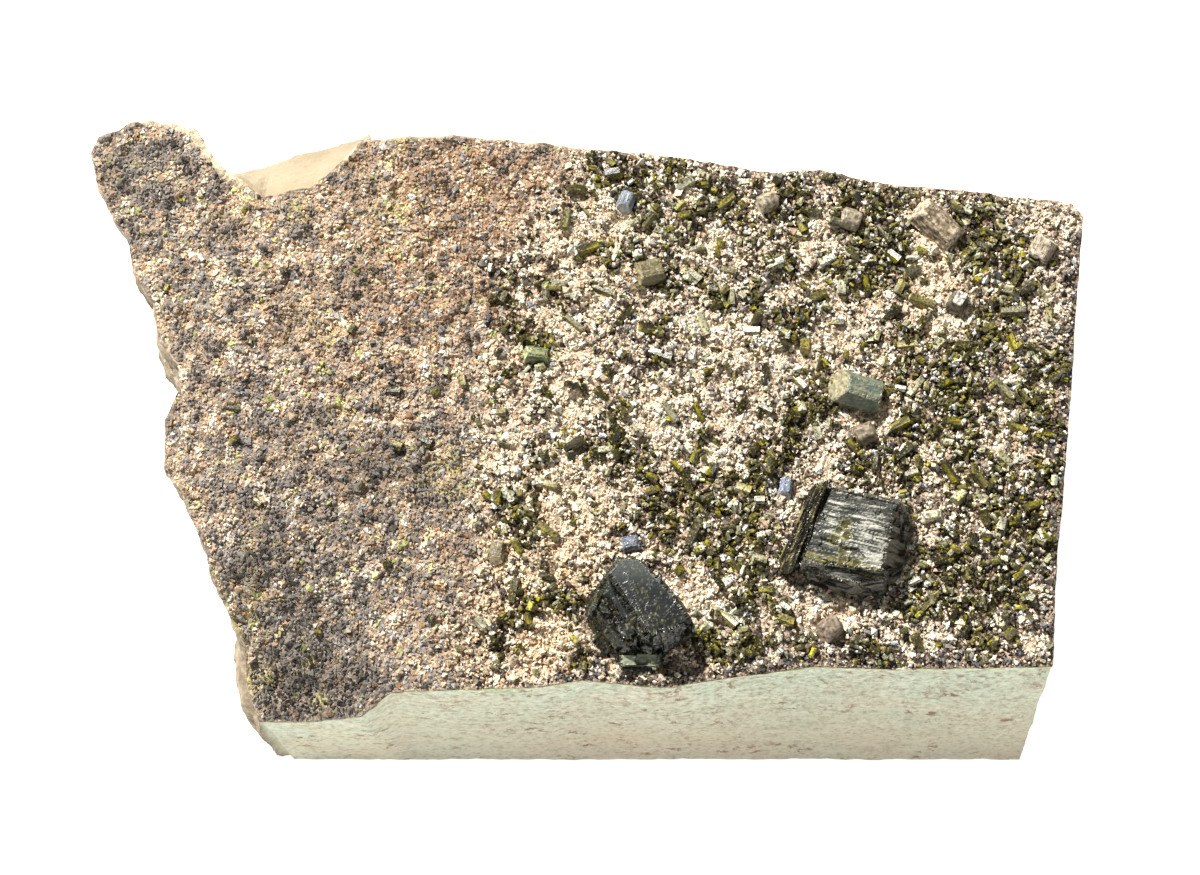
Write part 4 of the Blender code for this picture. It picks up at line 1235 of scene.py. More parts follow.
def front_rim(xy, away, reach):
    """How near each place is to the druse's front or right rim: 1 on it, falling off over the reach."""
    return np.exp(-(away / reach) ** 2) * (xy[:, 0] > FRONT_RIM_X) * (xy[:, 1] < FRONT_RIM_Y)


def has_room(xy, size, bare, away, margin):
    """Which places are off the bare rim, far enough inside the edge and clear of the crystals."""
    return (bare < BARE_LIMIT) & (away > RIM_ROOM * size) & clear_of_crystals(xy, margin)


# Each sort's material: roughness, spread, specular, swing and the darkness of its painted pit shade, as
# grain_material has them
GRAIN_LOOKS = {
    "left_grains": (0.66, 0.16, 0.35, 0.35, 0.45),
    "pale_grains": (0.5, 0.25, 0.45, 0.6, 0.75),
    "dark_grains": (0.4, 0.35, 0.6, 1.0, 0.5),
}


# How far a grain's three sizes may differ, and how far its corners wander
CHIP_SHAPES = {
    "left_grains": ((0.75, 1.25), 0.3),
    "pale_grains": ((0.7, 1.2), 0.28),
    "dark_grains": ((0.7, 1.3), 0.3),
}


def add_chips(name, chance, xy, size, z, colours):
    """Grains of one sort as one joined mesh."""
    stretch, wobble = CHIP_SHAPES[name]
    places = np.column_stack([xy, z])
    sizes = size[:, None] * chance.uniform(*stretch, (len(xy), 3))
    turns = spins(len(xy), chance)
    mesh = grain_mesh(name, places, sizes, turns, colours, CHIP, CHIP_FACES, chance, wobble)
    return add_piece(mesh, grain_material(name, *GRAIN_LOOKS[name]), "druse")


# Each sort of grain: its seed, the step of its places, and the middle, spread and limits of its width
GRAIN_SORTS = {
    "left_grains": (11, 0.28, 0.315, 0.30, (0.17, 0.75)),
    "pale_grains": (12, 0.265, 0.305, 0.38, (0.15, 0.9)),
    "dark_grains": (13, 0.38, 0.26, 0.36, (0.14, 0.8)),
    "small_prisms": (14, 0.33, 0.31, 0.36, (0.15, 0.8)),
}


def possible_grains(name, rim):
    """The random source of a sort of grain, where its grains could stand and how wide each is."""
    seed, step, middle, spread, limits = GRAIN_SORTS[name]
    chance = np.random.default_rng(seed)
    xy = scatter(step, chance, rim)
    return chance, xy, chance.lognormal(math.log(middle), spread, len(xy)).clip(*limits)


def shares_at(xy, rim):
    """How coarse, how green and how cream the druse is at each place, and how bare its rim."""
    coarse = np.array([druse_mix(x, y) for x, y in xy.tolist()])
    away = rim_fields(xy, rim)[1]
    green = np.clip(field(xy, GREEN_CLUMPS), 0.0, 1.0)
    cream = np.clip(field(xy, CREAM_SPREADS), 0.0, 1.0) * (1.0 - 0.7 * green)
    return coarse, green, cream, bare_share(xy, away), away


def make_left_grains(rim):
    """The fine grains of the left part: tan, with grey, orange, yellow and pale patches."""
    chance, xy, size = possible_grains("left_grains", rim)
    coarse, _, _, bare, away = shares_at(xy, rim)
    keep = chance.uniform(0.0, 1.0, len(xy)) > coarse * 1.05
    keep &= has_room(xy, size, bare, away, 0.0)
    xy, size = xy[keep], size[keep]
    grey = field(xy, GREY_PATCHES) + 1.5 * (cloud(xy, 2.4, 5.0) - 0.55) + 0.8 * ripple(xy, 0.9, 6.0)
    grey = np.clip(grey, 0.0, 1.3)
    orange = np.clip(field(xy, ORANGE_PATCHES) + 1.1 * ripple(xy, 1.7, 17.0), 0.0, 1.3)
    yellow = np.clip(field(xy, YELLOW_PATCHES) + 2.2 * (cloud(xy, 1.2, 19.0) - 0.86), 0.0, 1.2)
    pale = np.clip(2.0 * (cloud(xy, 1.5, 9.0) - 0.58), 0.0, 1.0)
    # How often each of LEFT_COLOURS is drawn
    weights = np.stack([
        0.05 + 0.12 * grey, 0.08 + 0.30 * grey, 0.16 + 0.45 * grey, 0.26 + 0.30 * grey,
        0.02 + 0.30 * orange, 0.24 + 0.28 * orange, 0.24 + 0.15 * orange, 0.045 + 0.6 * yellow,
        0.10 + 0.55 * pale, 0.03 + 0.03 * pale,
    ], 1)
    rank = rank_at(xy, (1.5, 0.55), 51.0, chance, 0.16)
    colours = pick(weights, LEFT_COLOURS, chance, 0.10, rank)
    drift = ripple(xy, 1.1, 23.0) * 0.5 + ripple(xy, 3.2, 25.0) * 0.7
    # Painted shade: the grains are darkened in the patches of shadowed undulations and crevices
    drift += 0.11 - 0.19 * grey - 1.05 * field(xy, SHADE_PATCHES)
    colours = np.clip(colours * np.exp(drift)[:, None], 0.0, 0.9)
    z = surface_z(xy) - 0.06 * size + chance.uniform(-0.06, 0.10, len(xy))
    return add_chips("left_grains", chance, xy, size, z, colours)


def make_pale_grains(rim):
    """The cream grains of the druse, in lumps and thinnest in the green clumps."""
    chance, xy, size = possible_grains("pale_grains", rim)
    coarse, green, cream, bare, away = shares_at(xy, rim)
    lumps = cloud(xy, 1.0, 13.0)
    # Near the front and right rim the pale grains thin out and turn grey: a dark band that is partly
    # painted shade, partly grey grains
    edge = front_rim(xy, away, GREY_RIM_REACH)
    density = 0.86 + 0.5 * cream - 0.55 * green + 1.1 * (lumps - 0.5) - 0.55 * edge
    keep = chance.uniform(0.0, 1.0, len(xy)) < coarse * np.clip(density, 0.06, 1.0)
    keep &= has_room(xy, size, bare, away, PALE_MARGIN)
    xy, size, cream, green, lumps = xy[keep], size[keep], cream[keep], green[keep], lumps[keep]
    rim_grey = np.exp(-(away[keep] / GREY_PALES_REACH) ** 2) * (xy[:, 0] > GREY_PALES_X)
    grey = 1.6 * ripple(xy, 3.0, 21.0) - 0.5 * cream + rim_grey + field(xy, DRUSE_GREY_PATCHES)
    grey = np.clip(grey, 0.0, 1.4)
    # How often each of DRUSE_PALES is drawn
    weights = np.stack([
        0.04 + 0.10 * green + 0.12 * grey, 0.04 + 0.36 * grey, 0.08 + 0.10 * green, 0.28 + 0.1 * cream,
        0.50 + 0.7 * cream, 0.11 + 0.22 * cream,
    ], 1)
    rank = rank_at(xy, (1.1, 0.5), 61.0, chance, 0.18)
    colours = pick(weights, DRUSE_PALES, chance, 0.10, rank)
    peach = np.clip(field(xy, PEACH_PATCHES) + 0.8 * ripple(xy, 2.0, 65.0), 0.0, 1.0)[:, None]
    colours = np.clip(colours * (1.0 + (np.array(PEACH) - 1.0) * peach), 0.0, LIGHTEST)
    z = surface_z(xy) + 0.04 * size + 0.5 * (lumps - 0.5) + chance.uniform(-0.05, 0.16, len(xy))
    return add_chips("pale_grains", chance, xy, size, z, colours)


def make_dark_grains(rim):
    """The dark grains between the pale ones, thickest in the green clumps and along the front rim, where
    their dark band is partly painted shade.
    """
    chance, xy, size = possible_grains("dark_grains", rim)
    coarse, green, cream, bare, away = shares_at(xy, rim)
    # Along the front and right rim there are more and greyer dark grains: partly painted shade, partly real
    # dark grains
    edge = front_rim(xy, away, GREY_RIM_REACH)
    grey = np.clip(field(xy, DRUSE_GREY_PATCHES), 0.0, 1.0)
    density = 0.38 + 0.3 * green - 0.45 * cream + 0.8 * edge + 0.25 * grey
    keep = chance.uniform(0.0, 1.0, len(xy)) < coarse * np.clip(density, 0.0, 1.0)
    keep &= has_room(xy, size, bare, away, 0.0)
    xy, size, green, edge = xy[keep], size[keep], green[keep], edge[keep]
    # How often each of DRUSE_DARKS is drawn
    weights = np.stack([
        np.full_like(green, 0.38), 0.22 + 0.3 * edge, 0.14 - 0.1 * green, 0.04 + 0.4 * green,
        0.10 + 0.5 * edge, 0.01 + 0.08 * green,
    ], 1)
    colours = pick(weights, DRUSE_DARKS, chance, 0.25)
    z = surface_z(xy) + 0.05 * size + chance.uniform(-0.1, 0.14, len(xy))
    return add_chips("dark_grains", chance, xy, size, z, colours)


# Single crystals on the fine-grained left part: place, length, width, turn, and which of GREENS
LEFT_CRYSTALS = [
    (-21.0, 7.6, 1.1, 0.6, 60.0, 0), (-18.2, 4.2, 0.9, 0.5, 20.0, 3), (-17.2, 1.9, 1.6, 1.0, 175.0, 3),
    (-14.2, -2.8, 1.5, 0.9, 150.0, 3), (-16.8, -3.2, 1.2, 0.9, 160.0, 0), (-31.7, -2.2, 1.1, 0.7, 40.0, 0),
    (-27.3, 13.2, 0.9, 0.6, 30.0, 3), (-30.4, 7.0, 0.8, 0.6, 80.0, 0), (-31.9, 0.8, 1.2, 0.7, 170.0, 0),
    (-10.8, 2.6, 1.1, 0.8, 100.0, 1), (-12.3, 3.6, 0.9, 0.7, 70.0, 2), (-13.3, 1.6, 1.0, 0.7, 20.0, 1),
    (-35.2, 21.4, 0.8, 0.5, 120.0, 1), (-37.2, 20.7, 0.7, 0.5, 10.0, 4), (-31.2, 19.4, 0.8, 0.5, 50.0, 4),
    (-26.2, 12.2, 0.6, 0.5, 0.0, 7), (-35.2, 15.1, 0.8, 0.5, 120.0, 7), (-23.8, 1.4, 0.7, 0.6, 30.0, 7),
    (-12.3, 5.2, 0.7, 0.6, 80.0, 7), (-20.0, -7.0, 0.9, 0.6, 45.0, 0), (-24.5, -12.0, 1.0, 0.6, 100.0, 3),
    (-17.5, -14.0, 1.0, 0.7, 15.0, 0), (-29.5, -8.0, 0.9, 0.6, 140.0, 1), (-13.5, -19.0, 0.9, 0.6, 60.0, 0),
    (-24.0, -19.5, 0.8, 0.5, 10.0, 1), (-38.5, 12.5, 0.7, 0.5, 70.0, 4), (-33.5, 9.5, 0.8, 0.5, 150.0, 1),
    (-13.8, 12.5, 0.8, 0.5, 35.0, 0), (-20.5, 15.5, 0.7, 0.5, 95.0, 1), (-9.6, -9.0, 1.0, 0.6, 120.0, 0),
]
LEFT_CRYSTAL_RISE = 0.12


def with_left_crystals(places, sizes, turns, colours):
    """The arrays of the prisms with LEFT_CRYSTALS after them."""
    table = np.array(LEFT_CRYSTALS)
    z = surface_z(table[:, :2]) + LEFT_CRYSTAL_RISE
    none = np.zeros(len(table))
    return (
        np.concatenate([places, np.column_stack([table[:, :2], z])]),
        np.concatenate([sizes, table[:, (2, 3, 3)]]),
        np.concatenate([turns, yaw_lean_roll(np.radians(table[:, 4]), none + 0.15, none)]),
        np.concatenate([colours, np.array(GREENS)[table[:, 5].astype(int)]]),
    )


def vary_corners(mesh, chance):
    """Makes the corners of every crystal lighter or darker at random, as painted light and shade on its
    facets, and paints yellow-green glints on some of the darker ones.
    """
    layer = mesh.color_attributes["tint"]
    rgba = np.empty(len(mesh.vertices) * 4, np.float32)
    layer.data.foreach_get("color", rgba)
    rgba = rgba.reshape(-1, 4)
    # Painted light and shade on the facets, placed at random, and painted glints
    shade = np.exp(chance.normal(0.0, 0.6, len(rgba)))
    glint = 0.8 * (chance.uniform(0.0, 1.0, len(rgba)) < 0.08)[:, None]
    colour = rgba[:, :3] * shade[:, None]
    colour += (np.array(PAINTED_GLINT) - colour) * glint * (colour.mean(axis=1) < 0.4)[:, None]
    rgba[:, :3] = np.clip(colour, 0.0, 0.9)
    layer.data.foreach_set("color", rgba.ravel())


# How often each of GREENS is drawn; the last two, painted glints, only for the finest prisms
PRISM_WEIGHTS = (0.26, 0.22, 0.20, 0.17, 0.02, 0.09, 0.03, 0.04)
PRISM_COARSE = 0.3
PRISM_MARGIN = 0.1
FINE_PRISM = 0.42


def solid_prisms(rim):
    """Places, sizes and turns of the small crystals that the solids have too."""
    rows = small_crystals(rim)
    z = [face_height(x, y) + (0.5 - SMALL_SUNK) * size[2] for x, y, size, *_ in rows]
    turn, lean = np.radians([(row[3], row[4]) for row in rows]).T
    places = np.column_stack([[row[:2] for row in rows], z])
    return places, np.array([row[2] for row in rows]), yaw_lean_roll(turn, lean, np.zeros(len(rows)))


def make_small_prisms(rim):
    """The small crystals of the solids, and many finer ones crowded in clumps."""
    big_places, big_sizes, big_turns = solid_prisms(rim)
    chance, xy, width = possible_grains("small_prisms", rim)
    coarse, green, _, bare, away = shares_at(xy, rim)
    length = width * chance.uniform(1.1, 2.3, len(xy))
    clumps = cloud(xy, 1.4, 31.0)
    density = np.clip(0.026 + green * (0.5 + 1.3 * (clumps - 0.5)), 0.0, 0.9)
    keep = (chance.uniform(0.0, 1.0, len(xy)) < density) & (coarse > PRISM_COARSE)
    keep &= (away > 0.5 * length) & (bare < BARE_LIMIT) & clear_of_crystals(xy, PRISM_MARGIN)
    xy, width, length, clumps = xy[keep], width[keep], length[keep], clumps[keep]
    count = len(xy)
    sizes = np.column_stack([length, width, width * chance.uniform(0.7, 1.1, count)])
    z = surface_z(xy) + 0.25 * width + 0.45 * (clumps - 0.4) + chance.uniform(0.0, 0.35, count)
    places = np.concatenate([big_places, np.column_stack([xy, z])])
    sizes = np.concatenate([big_sizes, sizes])
    turns = np.concatenate([big_turns, leaning(count, chance)])
    total = len(places)
    fine = (sizes[:, 1] < FINE_PRISM) * (np.arange(total) >= len(big_places))
    weights = np.tile(PRISM_WEIGHTS, (total, 1))
    weights[:, 6:] *= fine[:, None]
    colours = pick(weights, GREENS, chance, 0.28)
    places, sizes, turns, colours = with_left_crystals(places, sizes, turns, colours)
    mesh = grain_mesh("small_prisms", places, sizes, turns, colours, PRISM, PRISM_FACES, chance, 0.08)
    vary_corners(mesh, chance)
    return add_piece(mesh, prism_material(), "green_epidote")


# Crystals that stand alone

# The two large crystals: corner points of their blocks, as plan x, y and height over the face
BIG_RIGHT_BLOCKS = {
    "body": [
        (21.6, -7.9, 4.0), (28.1, -9.5, 4.4), (26.6, -15.5, 4.0), (19.7, -14.5, 3.6),
        (21.2, -7.2, -1.3), (30.1, -8.6, -1.3), (30.4, -11.6, -1.3), (29.7, -14.3, -1.3),
        (28.5, -16.1, -1.3), (19.6, -15.0, -1.3),
    ],
    "front_ledge": [
        (20.3, -15.2, 2.6), (24.4, -16.3, 2.6), (27.2, -15.8, 2.3), (26.0, -14.0, 2.5),
        (20.6, -16.1, -1.1), (24.3, -17.4, -1.1), (27.6, -17.0, -1.1), (28.0, -14.6, -1.1),
        (20.2, -13.6, -1.1), (20.5, -13.6, 2.5),
    ],
    "left_blade": [
        (22.1, -7.6, 4.6), (20.9, -7.8, 4.3), (18.1, -13.9, 3.1), (18.1, -14.8, 2.7),
        (19.9, -14.7, 2.6), (20.6, -12.5, 3.3), (20.6, -7.4, -1.0), (22.4, -7.0, -1.0),
        (17.7, -14.0, -1.0), (17.9, -15.2, -1.0), (20.0, -15.1, -1.0),
    ],
}
BIG_LEFT_BLOCKS = {
    "body": [
        (3.5, -14.7, 5.0), (5.1, -14.7, 4.6), (8.4, -18.2, 4.2), (9.3, -19.9, 3.6),
        (8.2, -20.6, 4.0), (6.7, -21.0, 4.6), (6.0, -21.3, 4.8), (2.6, -15.9, 5.0),
        (3.3, -14.2, -1.2), (5.6, -14.1, -1.2), (9.4, -18.4, -1.2), (10.2, -20.6, -1.2),
        (8.6, -22.0, -1.2), (6.9, -23.1, -1.2), (4.6, -22.6, -1.2), (2.0, -16.6, -1.2),
    ],
    "left_flank": [
        (2.5, -16.1, 3.9), (5.4, -20.8, 3.7), (4.4, -22.0, 2.8), (1.2, -18.6, 2.6),
        (2.2, -14.7, -1.1), (-0.2, -19.5, -1.1), (1.3, -22.2, -1.1), (2.5, -23.0, -1.1),
        (6.4, -22.9, -1.1), (4.8, -15.2, -1.1),
    ],
    "foot_ledge": [
        (3.4, -22.3, 1.3), (7.0, -22.2, 1.3), (6.9, -23.5, 1.0), (3.6, -23.5, 1.0),
        (3.2, -22.0, -1.0), (7.2, -21.9, -1.0), (7.1, -23.6, -1.0), (3.4, -23.6, -1.0),
    ],
}
BIG_VOXEL = 0.092
LONE_VOXEL = 0.085
EDGE_SOFTNESS = 0.06
EDGE_CALM = 0.6
FLAT_ACROSS = 0.35


def hull(points):
    """The closed convex solid around some points, as vertices and faces."""
    builder = bmesh.new()
    for point in points:
        builder.verts.new(point)
    bmesh.ops.convex_hull(builder, input=builder.verts)
    loose = [vertex for vertex in builder.verts if not vertex.link_faces]
    bmesh.ops.delete(builder, geom=loose, context="VERTS")
    builder.verts.index_update()
    vertices = [tuple(vertex.co) for vertex in builder.verts]
    faces = [tuple(vertex.index for vertex in face.verts) for face in builder.faces]
    builder.free()
    return vertices, faces


def placed(points, x, y, z, turn, lean):
    """Points leaned along X, turned about Z and moved to their place."""
    matrix = Matrix.Translation((x, y, z))
    matrix = matrix @ Matrix.Rotation(math.radians(turn), 4, "Z")
    matrix = matrix @ Matrix.Rotation(math.radians(lean), 4, "Y")
    return [tuple(matrix @ Vector(point)) for point in points]


def big_points(corners):
    """The corner points of a block with their heights counted from the face."""
    return [(x, y, face_height(x, y) + up) for x, y, up in corners]


def skin(hulls, voxel, rounding):
    """One closed fine mesh round some convex solids, in millimetres; rounding softens its edges."""
    points = []
    faces = []
    for vertices, sides in hulls:
        start = len(points)
        points += vertices
        faces += [tuple(start + index for index in side) for side in sides]
    mesh = bpy.data.meshes.new("skin")
    mesh.from_pydata(points, [], faces)
    outward_faces(mesh)
    item = bpy.data.objects.new("skin", mesh)
    bpy.context.scene.collection.objects.link(item)
    remesh = item.modifiers.new("skin", "REMESH")
    remesh.mode = "VOXEL"
    remesh.voxel_size = voxel
    if rounding:
        soften = item.modifiers.new("soften", "SMOOTH")
        soften.factor = 0.5
        soften.iterations = rounding
    graph = bpy.context.evaluated_depsgraph_get()
    result = bpy.data.meshes.new_from_object(item.evaluated_get(graph))
    bpy.data.objects.remove(item)
    return result


def carved(name, hulls, voxel, relief, tint, rounding=0):
    """The skin of some solids with relief along its normals, and a tint for each of its points."""
    mesh = skin(hulls, voxel, rounding)
    mesh.name = name
    count = len(mesh.vertices)
    points = np.empty(count * 3, np.float32)
    normals = np.empty(count * 3, np.float32)
    mesh.vertices.foreach_get("co", points)
    mesh.vertex_normals.foreach_get("vector", normals)
    points = points.reshape(-1, 3)
    normals = normals.reshape(-1, 3)
    sides = np.concatenate([side_normals(vertices, faces) for vertices, faces in hulls])
    # A point on an edge has a normal between those of its two sides
    edges = np.clip((1.0 - (normals @ sides.T).max(axis=1)) / EDGE_SOFTNESS, 0.0, 1.0)
    colours = []
    moved = np.empty_like(points)
    for index, (place, normal, edge) in enumerate(zip(points.tolist(), normals.tolist(), edges.tolist())):
        place = Vector(place)
        normal = Vector(normal)
        height = relief(place, normal) * (1.0 - EDGE_CALM * edge)
        moved[index] = place + normal * height
        colours.append(tint(place, normal, height, edge))
    mesh.vertices.foreach_set("co", (moved * MM).ravel())
    mesh.update()
    mesh.shade_flat()
    set_colours(mesh, np.array(colours))
    return mesh


def side_normals(vertices, faces):
    """The outward direction of each side of a convex solid."""
    middle = sum((Vector(v) for v in vertices), Vector()) / len(vertices)
    result = []
    for face in faces:
        a, b, c = (Vector(vertices[index]) for index in face[:3])
        normal = (b - a).cross(c - a).normalized()
        result.append(normal if normal.dot(a - middle) > 0.0 else -normal)
    return np.array(result)


def pits_height(place, depth):
    """Shallow pits and bumps, as a height."""
    pits = noise.voronoi(place / 0.7)[0][0]
    return depth * (0.9 * noise.noise(place / 0.45) + 1.2 * (pits - 0.4))


def striation(place, normal, axis, coarse, depth):
    """Ridges that run along the axis on whatever face this is, as a height."""
    across = normal.cross(axis)
    if across.length < FLAT_ACROSS:
        return pits_height(place, depth)
    position = place.dot(across.normalized())
    along = place.dot(axis)
    wander = 0.12 * noise.noise(Vector((along / 2.5, position / 1.5, 7.0)))
    value = 0.0
    size = coarse
    strength = 1.0
    for layer in range(4):
        spot = Vector(((position + wander) / size, along / (size * 9.0), layer * 3.3))
        value += strength * noise.noise(spot)
        size *= 0.45
        strength *= 0.6
    return depth * value


def plates(place, normal, axis, width, length, depth):
    """Broken plates that lie along the axis, each at its own height."""
    across = normal.cross(axis)
    if across.length < FLAT_ACROSS:
        return 0.0
    position = place.dot(across.normalized()) / width + 0.25 * noise.noise(place / 1.1)
    row = math.floor(position)
    along = place.dot(axis) / length + 0.4 * noise.noise(place / 0.8) + 0.37 * row
    return depth * noise.cell(Vector((row + 0.5, math.floor(along) + 0.5, 3.5)))


# The blade at the left of the right crystal: the line of its crest, and half its width
BLADE_TOP = Vector((21.6, -7.6, 0.0))
BLADE_FOOT = Vector((18.5, -14.9, 0.0))
BLADE_AXIS = (BLADE_TOP - BLADE_FOOT).normalized()
BLADE_HALF = 0.95
BLADE_GROOVE = 0.28
BLADE_GROOVE_DEPTH = 0.35
RIGHT_AXIS = Vector((6.5, -1.6, 0.35)).normalized()
RIGHT_ACROSS = Vector((1.6, 6.5, 0.0)).normalized()
RIGHT_HOLLOWS = [
    (22.56, -12.75, 0.48, 0.14), (23.40, -13.80, 0.50, 0.14), (23.60, -11.35, 0.46, 0.12),
    (23.00, -11.95, 0.38, 0.12), (23.20, -14.60, 0.46, 0.12), (23.75, -12.40, 0.42, 0.10),
    (24.50, -14.85, 0.42, 0.10),
]
LEFT_AXIS = Vector((3.0, -6.3, -0.3)).normalized()
PITCH = linear(15, 14, 10)
OLIVE_INK = linear(56, 54, 34)
OLIVE = linear(112, 108, 54)
# Silver: painted sheen and highlights on the large crystals, partly a pale coating on the right crystal's
# top
SILVER = linear(190, 188, 174)
STEEL = linear(64, 65, 59)
BLADE_LIGHT = linear(150, 142, 92)
# Painted light: the pale patch on the right crystal's front ledge, which lies in shade
LEDGE_PAINTED_LIGHT = linear(226, 222, 206)
SLATE_INK = linear(44, 46, 48)
SLATE_GREY = linear(84, 89, 88)
SLATE_RIM = linear(160, 164, 150)
MOSS = linear(136, 130, 50)
OLIVE_BROWN = linear(60, 53, 32)
SAGE = linear(160, 166, 138)
HOLLOW_RIM = linear(214, 208, 158)
# Patches of painted silver sheen on the right crystal's top, partly pale coating
RIGHT_SHEEN = [
    (25.0, -12.4, 1.0, 0.9), (25.4, -11.0, 0.9, 0.7), (27.6, -14.0, 1.2, 0.9), (25.7, -14.6, 1.2, 0.9),
    (26.8, -15.3, 1.0, 0.9), (22.3, -11.1, 0.7, 0.7), (22.7, -9.5, 0.7, 0.5), (26.8, -12.5, 0.5, 0.6),
]

# The border between the right crystal's top and its front ledge, with moss beside it, and the patch of
# painted light on the ledge
LEDGE_LINE = -15.4
LEDGE_SLANT = 0.25
LEDGE_MIDDLE = 24.0
LEDGE_PAINTED_LIGHT_X = 22.9
LEDGE_PAINTED_LIGHT_HALF = 2.6
MOSS_OFFSET = 0.35
MOSS_HALF = 0.6

# Its hollows, in shares of their radius
HOLLOW_REACH = 1.3
HOLLOW_EDGE = 1.05
HOLLOW_RING = 0.22

# The left crystal: how high its top is, where it turns pale, its crest, and the foot ledge
LEFT_TOP_RISE = 3.4
LEFT_TOP_NORMAL = 0.75
LEFT_PALE_Y = -17.6
LEFT_PALE_WIDTH = 2.6
LEFT_CREST = (3.9, -14.7, 0.55)
LEFT_CREST_HALF = 1.5
LEFT_FRONT_Y = -18.6
FOOT_LEDGE_RISE = 1.6
FOOT_LEDGE_Y = -22.5


def from_blade(place):
    """How far a place lies to the right of the blade's crest, seen from above."""
    offset = place - BLADE_FOOT
    return offset.x * BLADE_AXIS.y - offset.y * BLADE_AXIS.x


def groove_share(side):
    """1 in the groove along the blade's right edge, 0 on the blade."""
    return smooth((side - BLADE_HALF + 2.0 * BLADE_GROOVE) / BLADE_GROOVE)


def right_relief(place, normal):
    """The height of the right crystal's striations, plates and hollows, and of its blade."""
    side = from_blade(place)
    if side < BLADE_HALF:
        return striation(place, normal, BLADE_AXIS, 0.5, 0.16) - BLADE_GROOVE_DEPTH * groove_share(side)
    height = striation(place, normal, RIGHT_AXIS, 0.5, 0.10)
    if normal.z > 0.8:
        height -= plates(place, normal, RIGHT_AXIS, 0.8, 2.2, 0.14)
        for x, y, radius, depth in RIGHT_HOLLOWS:
            height -= depth * smooth(HOLLOW_REACH - math.hypot(place.x - x, place.y - y) / radius)
        return height
    return height - plates(place, normal, RIGHT_AXIS, 0.6, 1.6, 0.24)


def right_tint(place, normal, height, edge):
    """Painted silver sheen, partly pale coating, on a dark top, with moss by the ledge and olive in the
    hollows; painted light on the ledge, edges and ridges, painted shade in the blade's groove.
    """
    side = from_blade(place)
    if side < BLADE_HALF:
        line = noise.noise(Vector((place.dot(BLADE_AXIS) / 2.2, side / 0.22, 5.0)))
        colour = blend(PITCH, OLIVE_BROWN, smooth(0.5 + 1.4 * line))
        colour = blend(colour, BLADE_LIGHT, 0.8 * smooth((line - 0.12) / 0.3))
        # Painted shade: the groove between the blade and the body is darkened nearly to pitch
        return tuple(blend(colour, PITCH, 0.9 * groove_share(side)))
    dark = blend(PITCH, OLIVE_BROWN, smooth(0.5 + 1.2 * noise.noise(place / 0.6)))
    # Painted highlights: the sides turn silver on their edges and ridges
    if normal.z < 0.75:
        return tuple(blend(dark, SILVER, 0.22 * edge + 0.16 * smooth(height / 0.08)))
    along = place.dot(RIGHT_AXIS)
    across = place.dot(RIGHT_ACROSS)
    streak = 1.3 * noise.fractal(Vector((along / 1.9, across / 0.17, 3.0)), 0.5, 2.2, 3)
    front = place.y + LEDGE_SLANT * (place.x - LEDGE_MIDDLE)
    if front < LEDGE_LINE:
        # Painted light: a pale patch so that the shaded ledge reads as lit, with painted silver sheen and
        # edge highlights
        box = smooth(1.0 - abs(place.x - LEDGE_PAINTED_LIGHT_X) / LEDGE_PAINTED_LIGHT_HALF)
        colour = blend(OLIVE_BROWN, LEDGE_PAINTED_LIGHT, box)
        return tuple(blend(colour, SILVER, 0.4 * smooth(2.0 * streak) + 0.35 * edge))
    # Painted sheen: silver streaks and patches over the dark top, partly pale coating
    painted_sheen = patches(place.x, place.y, RIGHT_SHEEN)
    share = smooth(1.6 * (streak + 0.8 * painted_sheen - 0.30))
    colour = blend(STEEL, SILVER, share)
    green = smooth(1.0 - abs(front - LEDGE_LINE - MOSS_OFFSET) / MOSS_HALF)
    green *= smooth(0.8 + 1.5 * noise.noise(place / 0.5))
    colour = blend(colour, MOSS, 0.8 * green)
    away = min(math.hypot(place.x - x, place.y - y) / radius for x, y, radius, _ in RIGHT_HOLLOWS)
    away += 0.5 * noise.noise(place / 0.35)
    if away < HOLLOW_REACH:
        inside_share = smooth((HOLLOW_EDGE - away) * 5.0)
        ring = smooth(1.0 - abs(away - HOLLOW_EDGE) / HOLLOW_RING)
        colour = blend(colour, blend(OLIVE_INK, OLIVE, 0.4), 0.85 * inside_share)
        colour = blend(colour, HOLLOW_RIM, 0.45 * ring)
    return tuple(colour)


def left_relief(place, normal):
    """The left crystal's height: nearly smooth on top, broken on its flanks."""
    if on_left_top(place, normal):
        steps = plates(place, normal, LEFT_AXIS, 1.1, 3.0, 0.1)
        return striation(place, normal, LEFT_AXIS, 1.6, 0.03) - 0.4 * steps
    rough = striation(place, normal, LEFT_AXIS, 0.9, 0.12) + pits_height(place, 0.12)
    return rough - plates(place, normal, LEFT_AXIS, 0.9, 1.8, 0.35)


def on_left_top(place, normal):
    return normal.z > LEFT_TOP_NORMAL and place.z > face_height(place.x, place.y) + LEFT_TOP_RISE


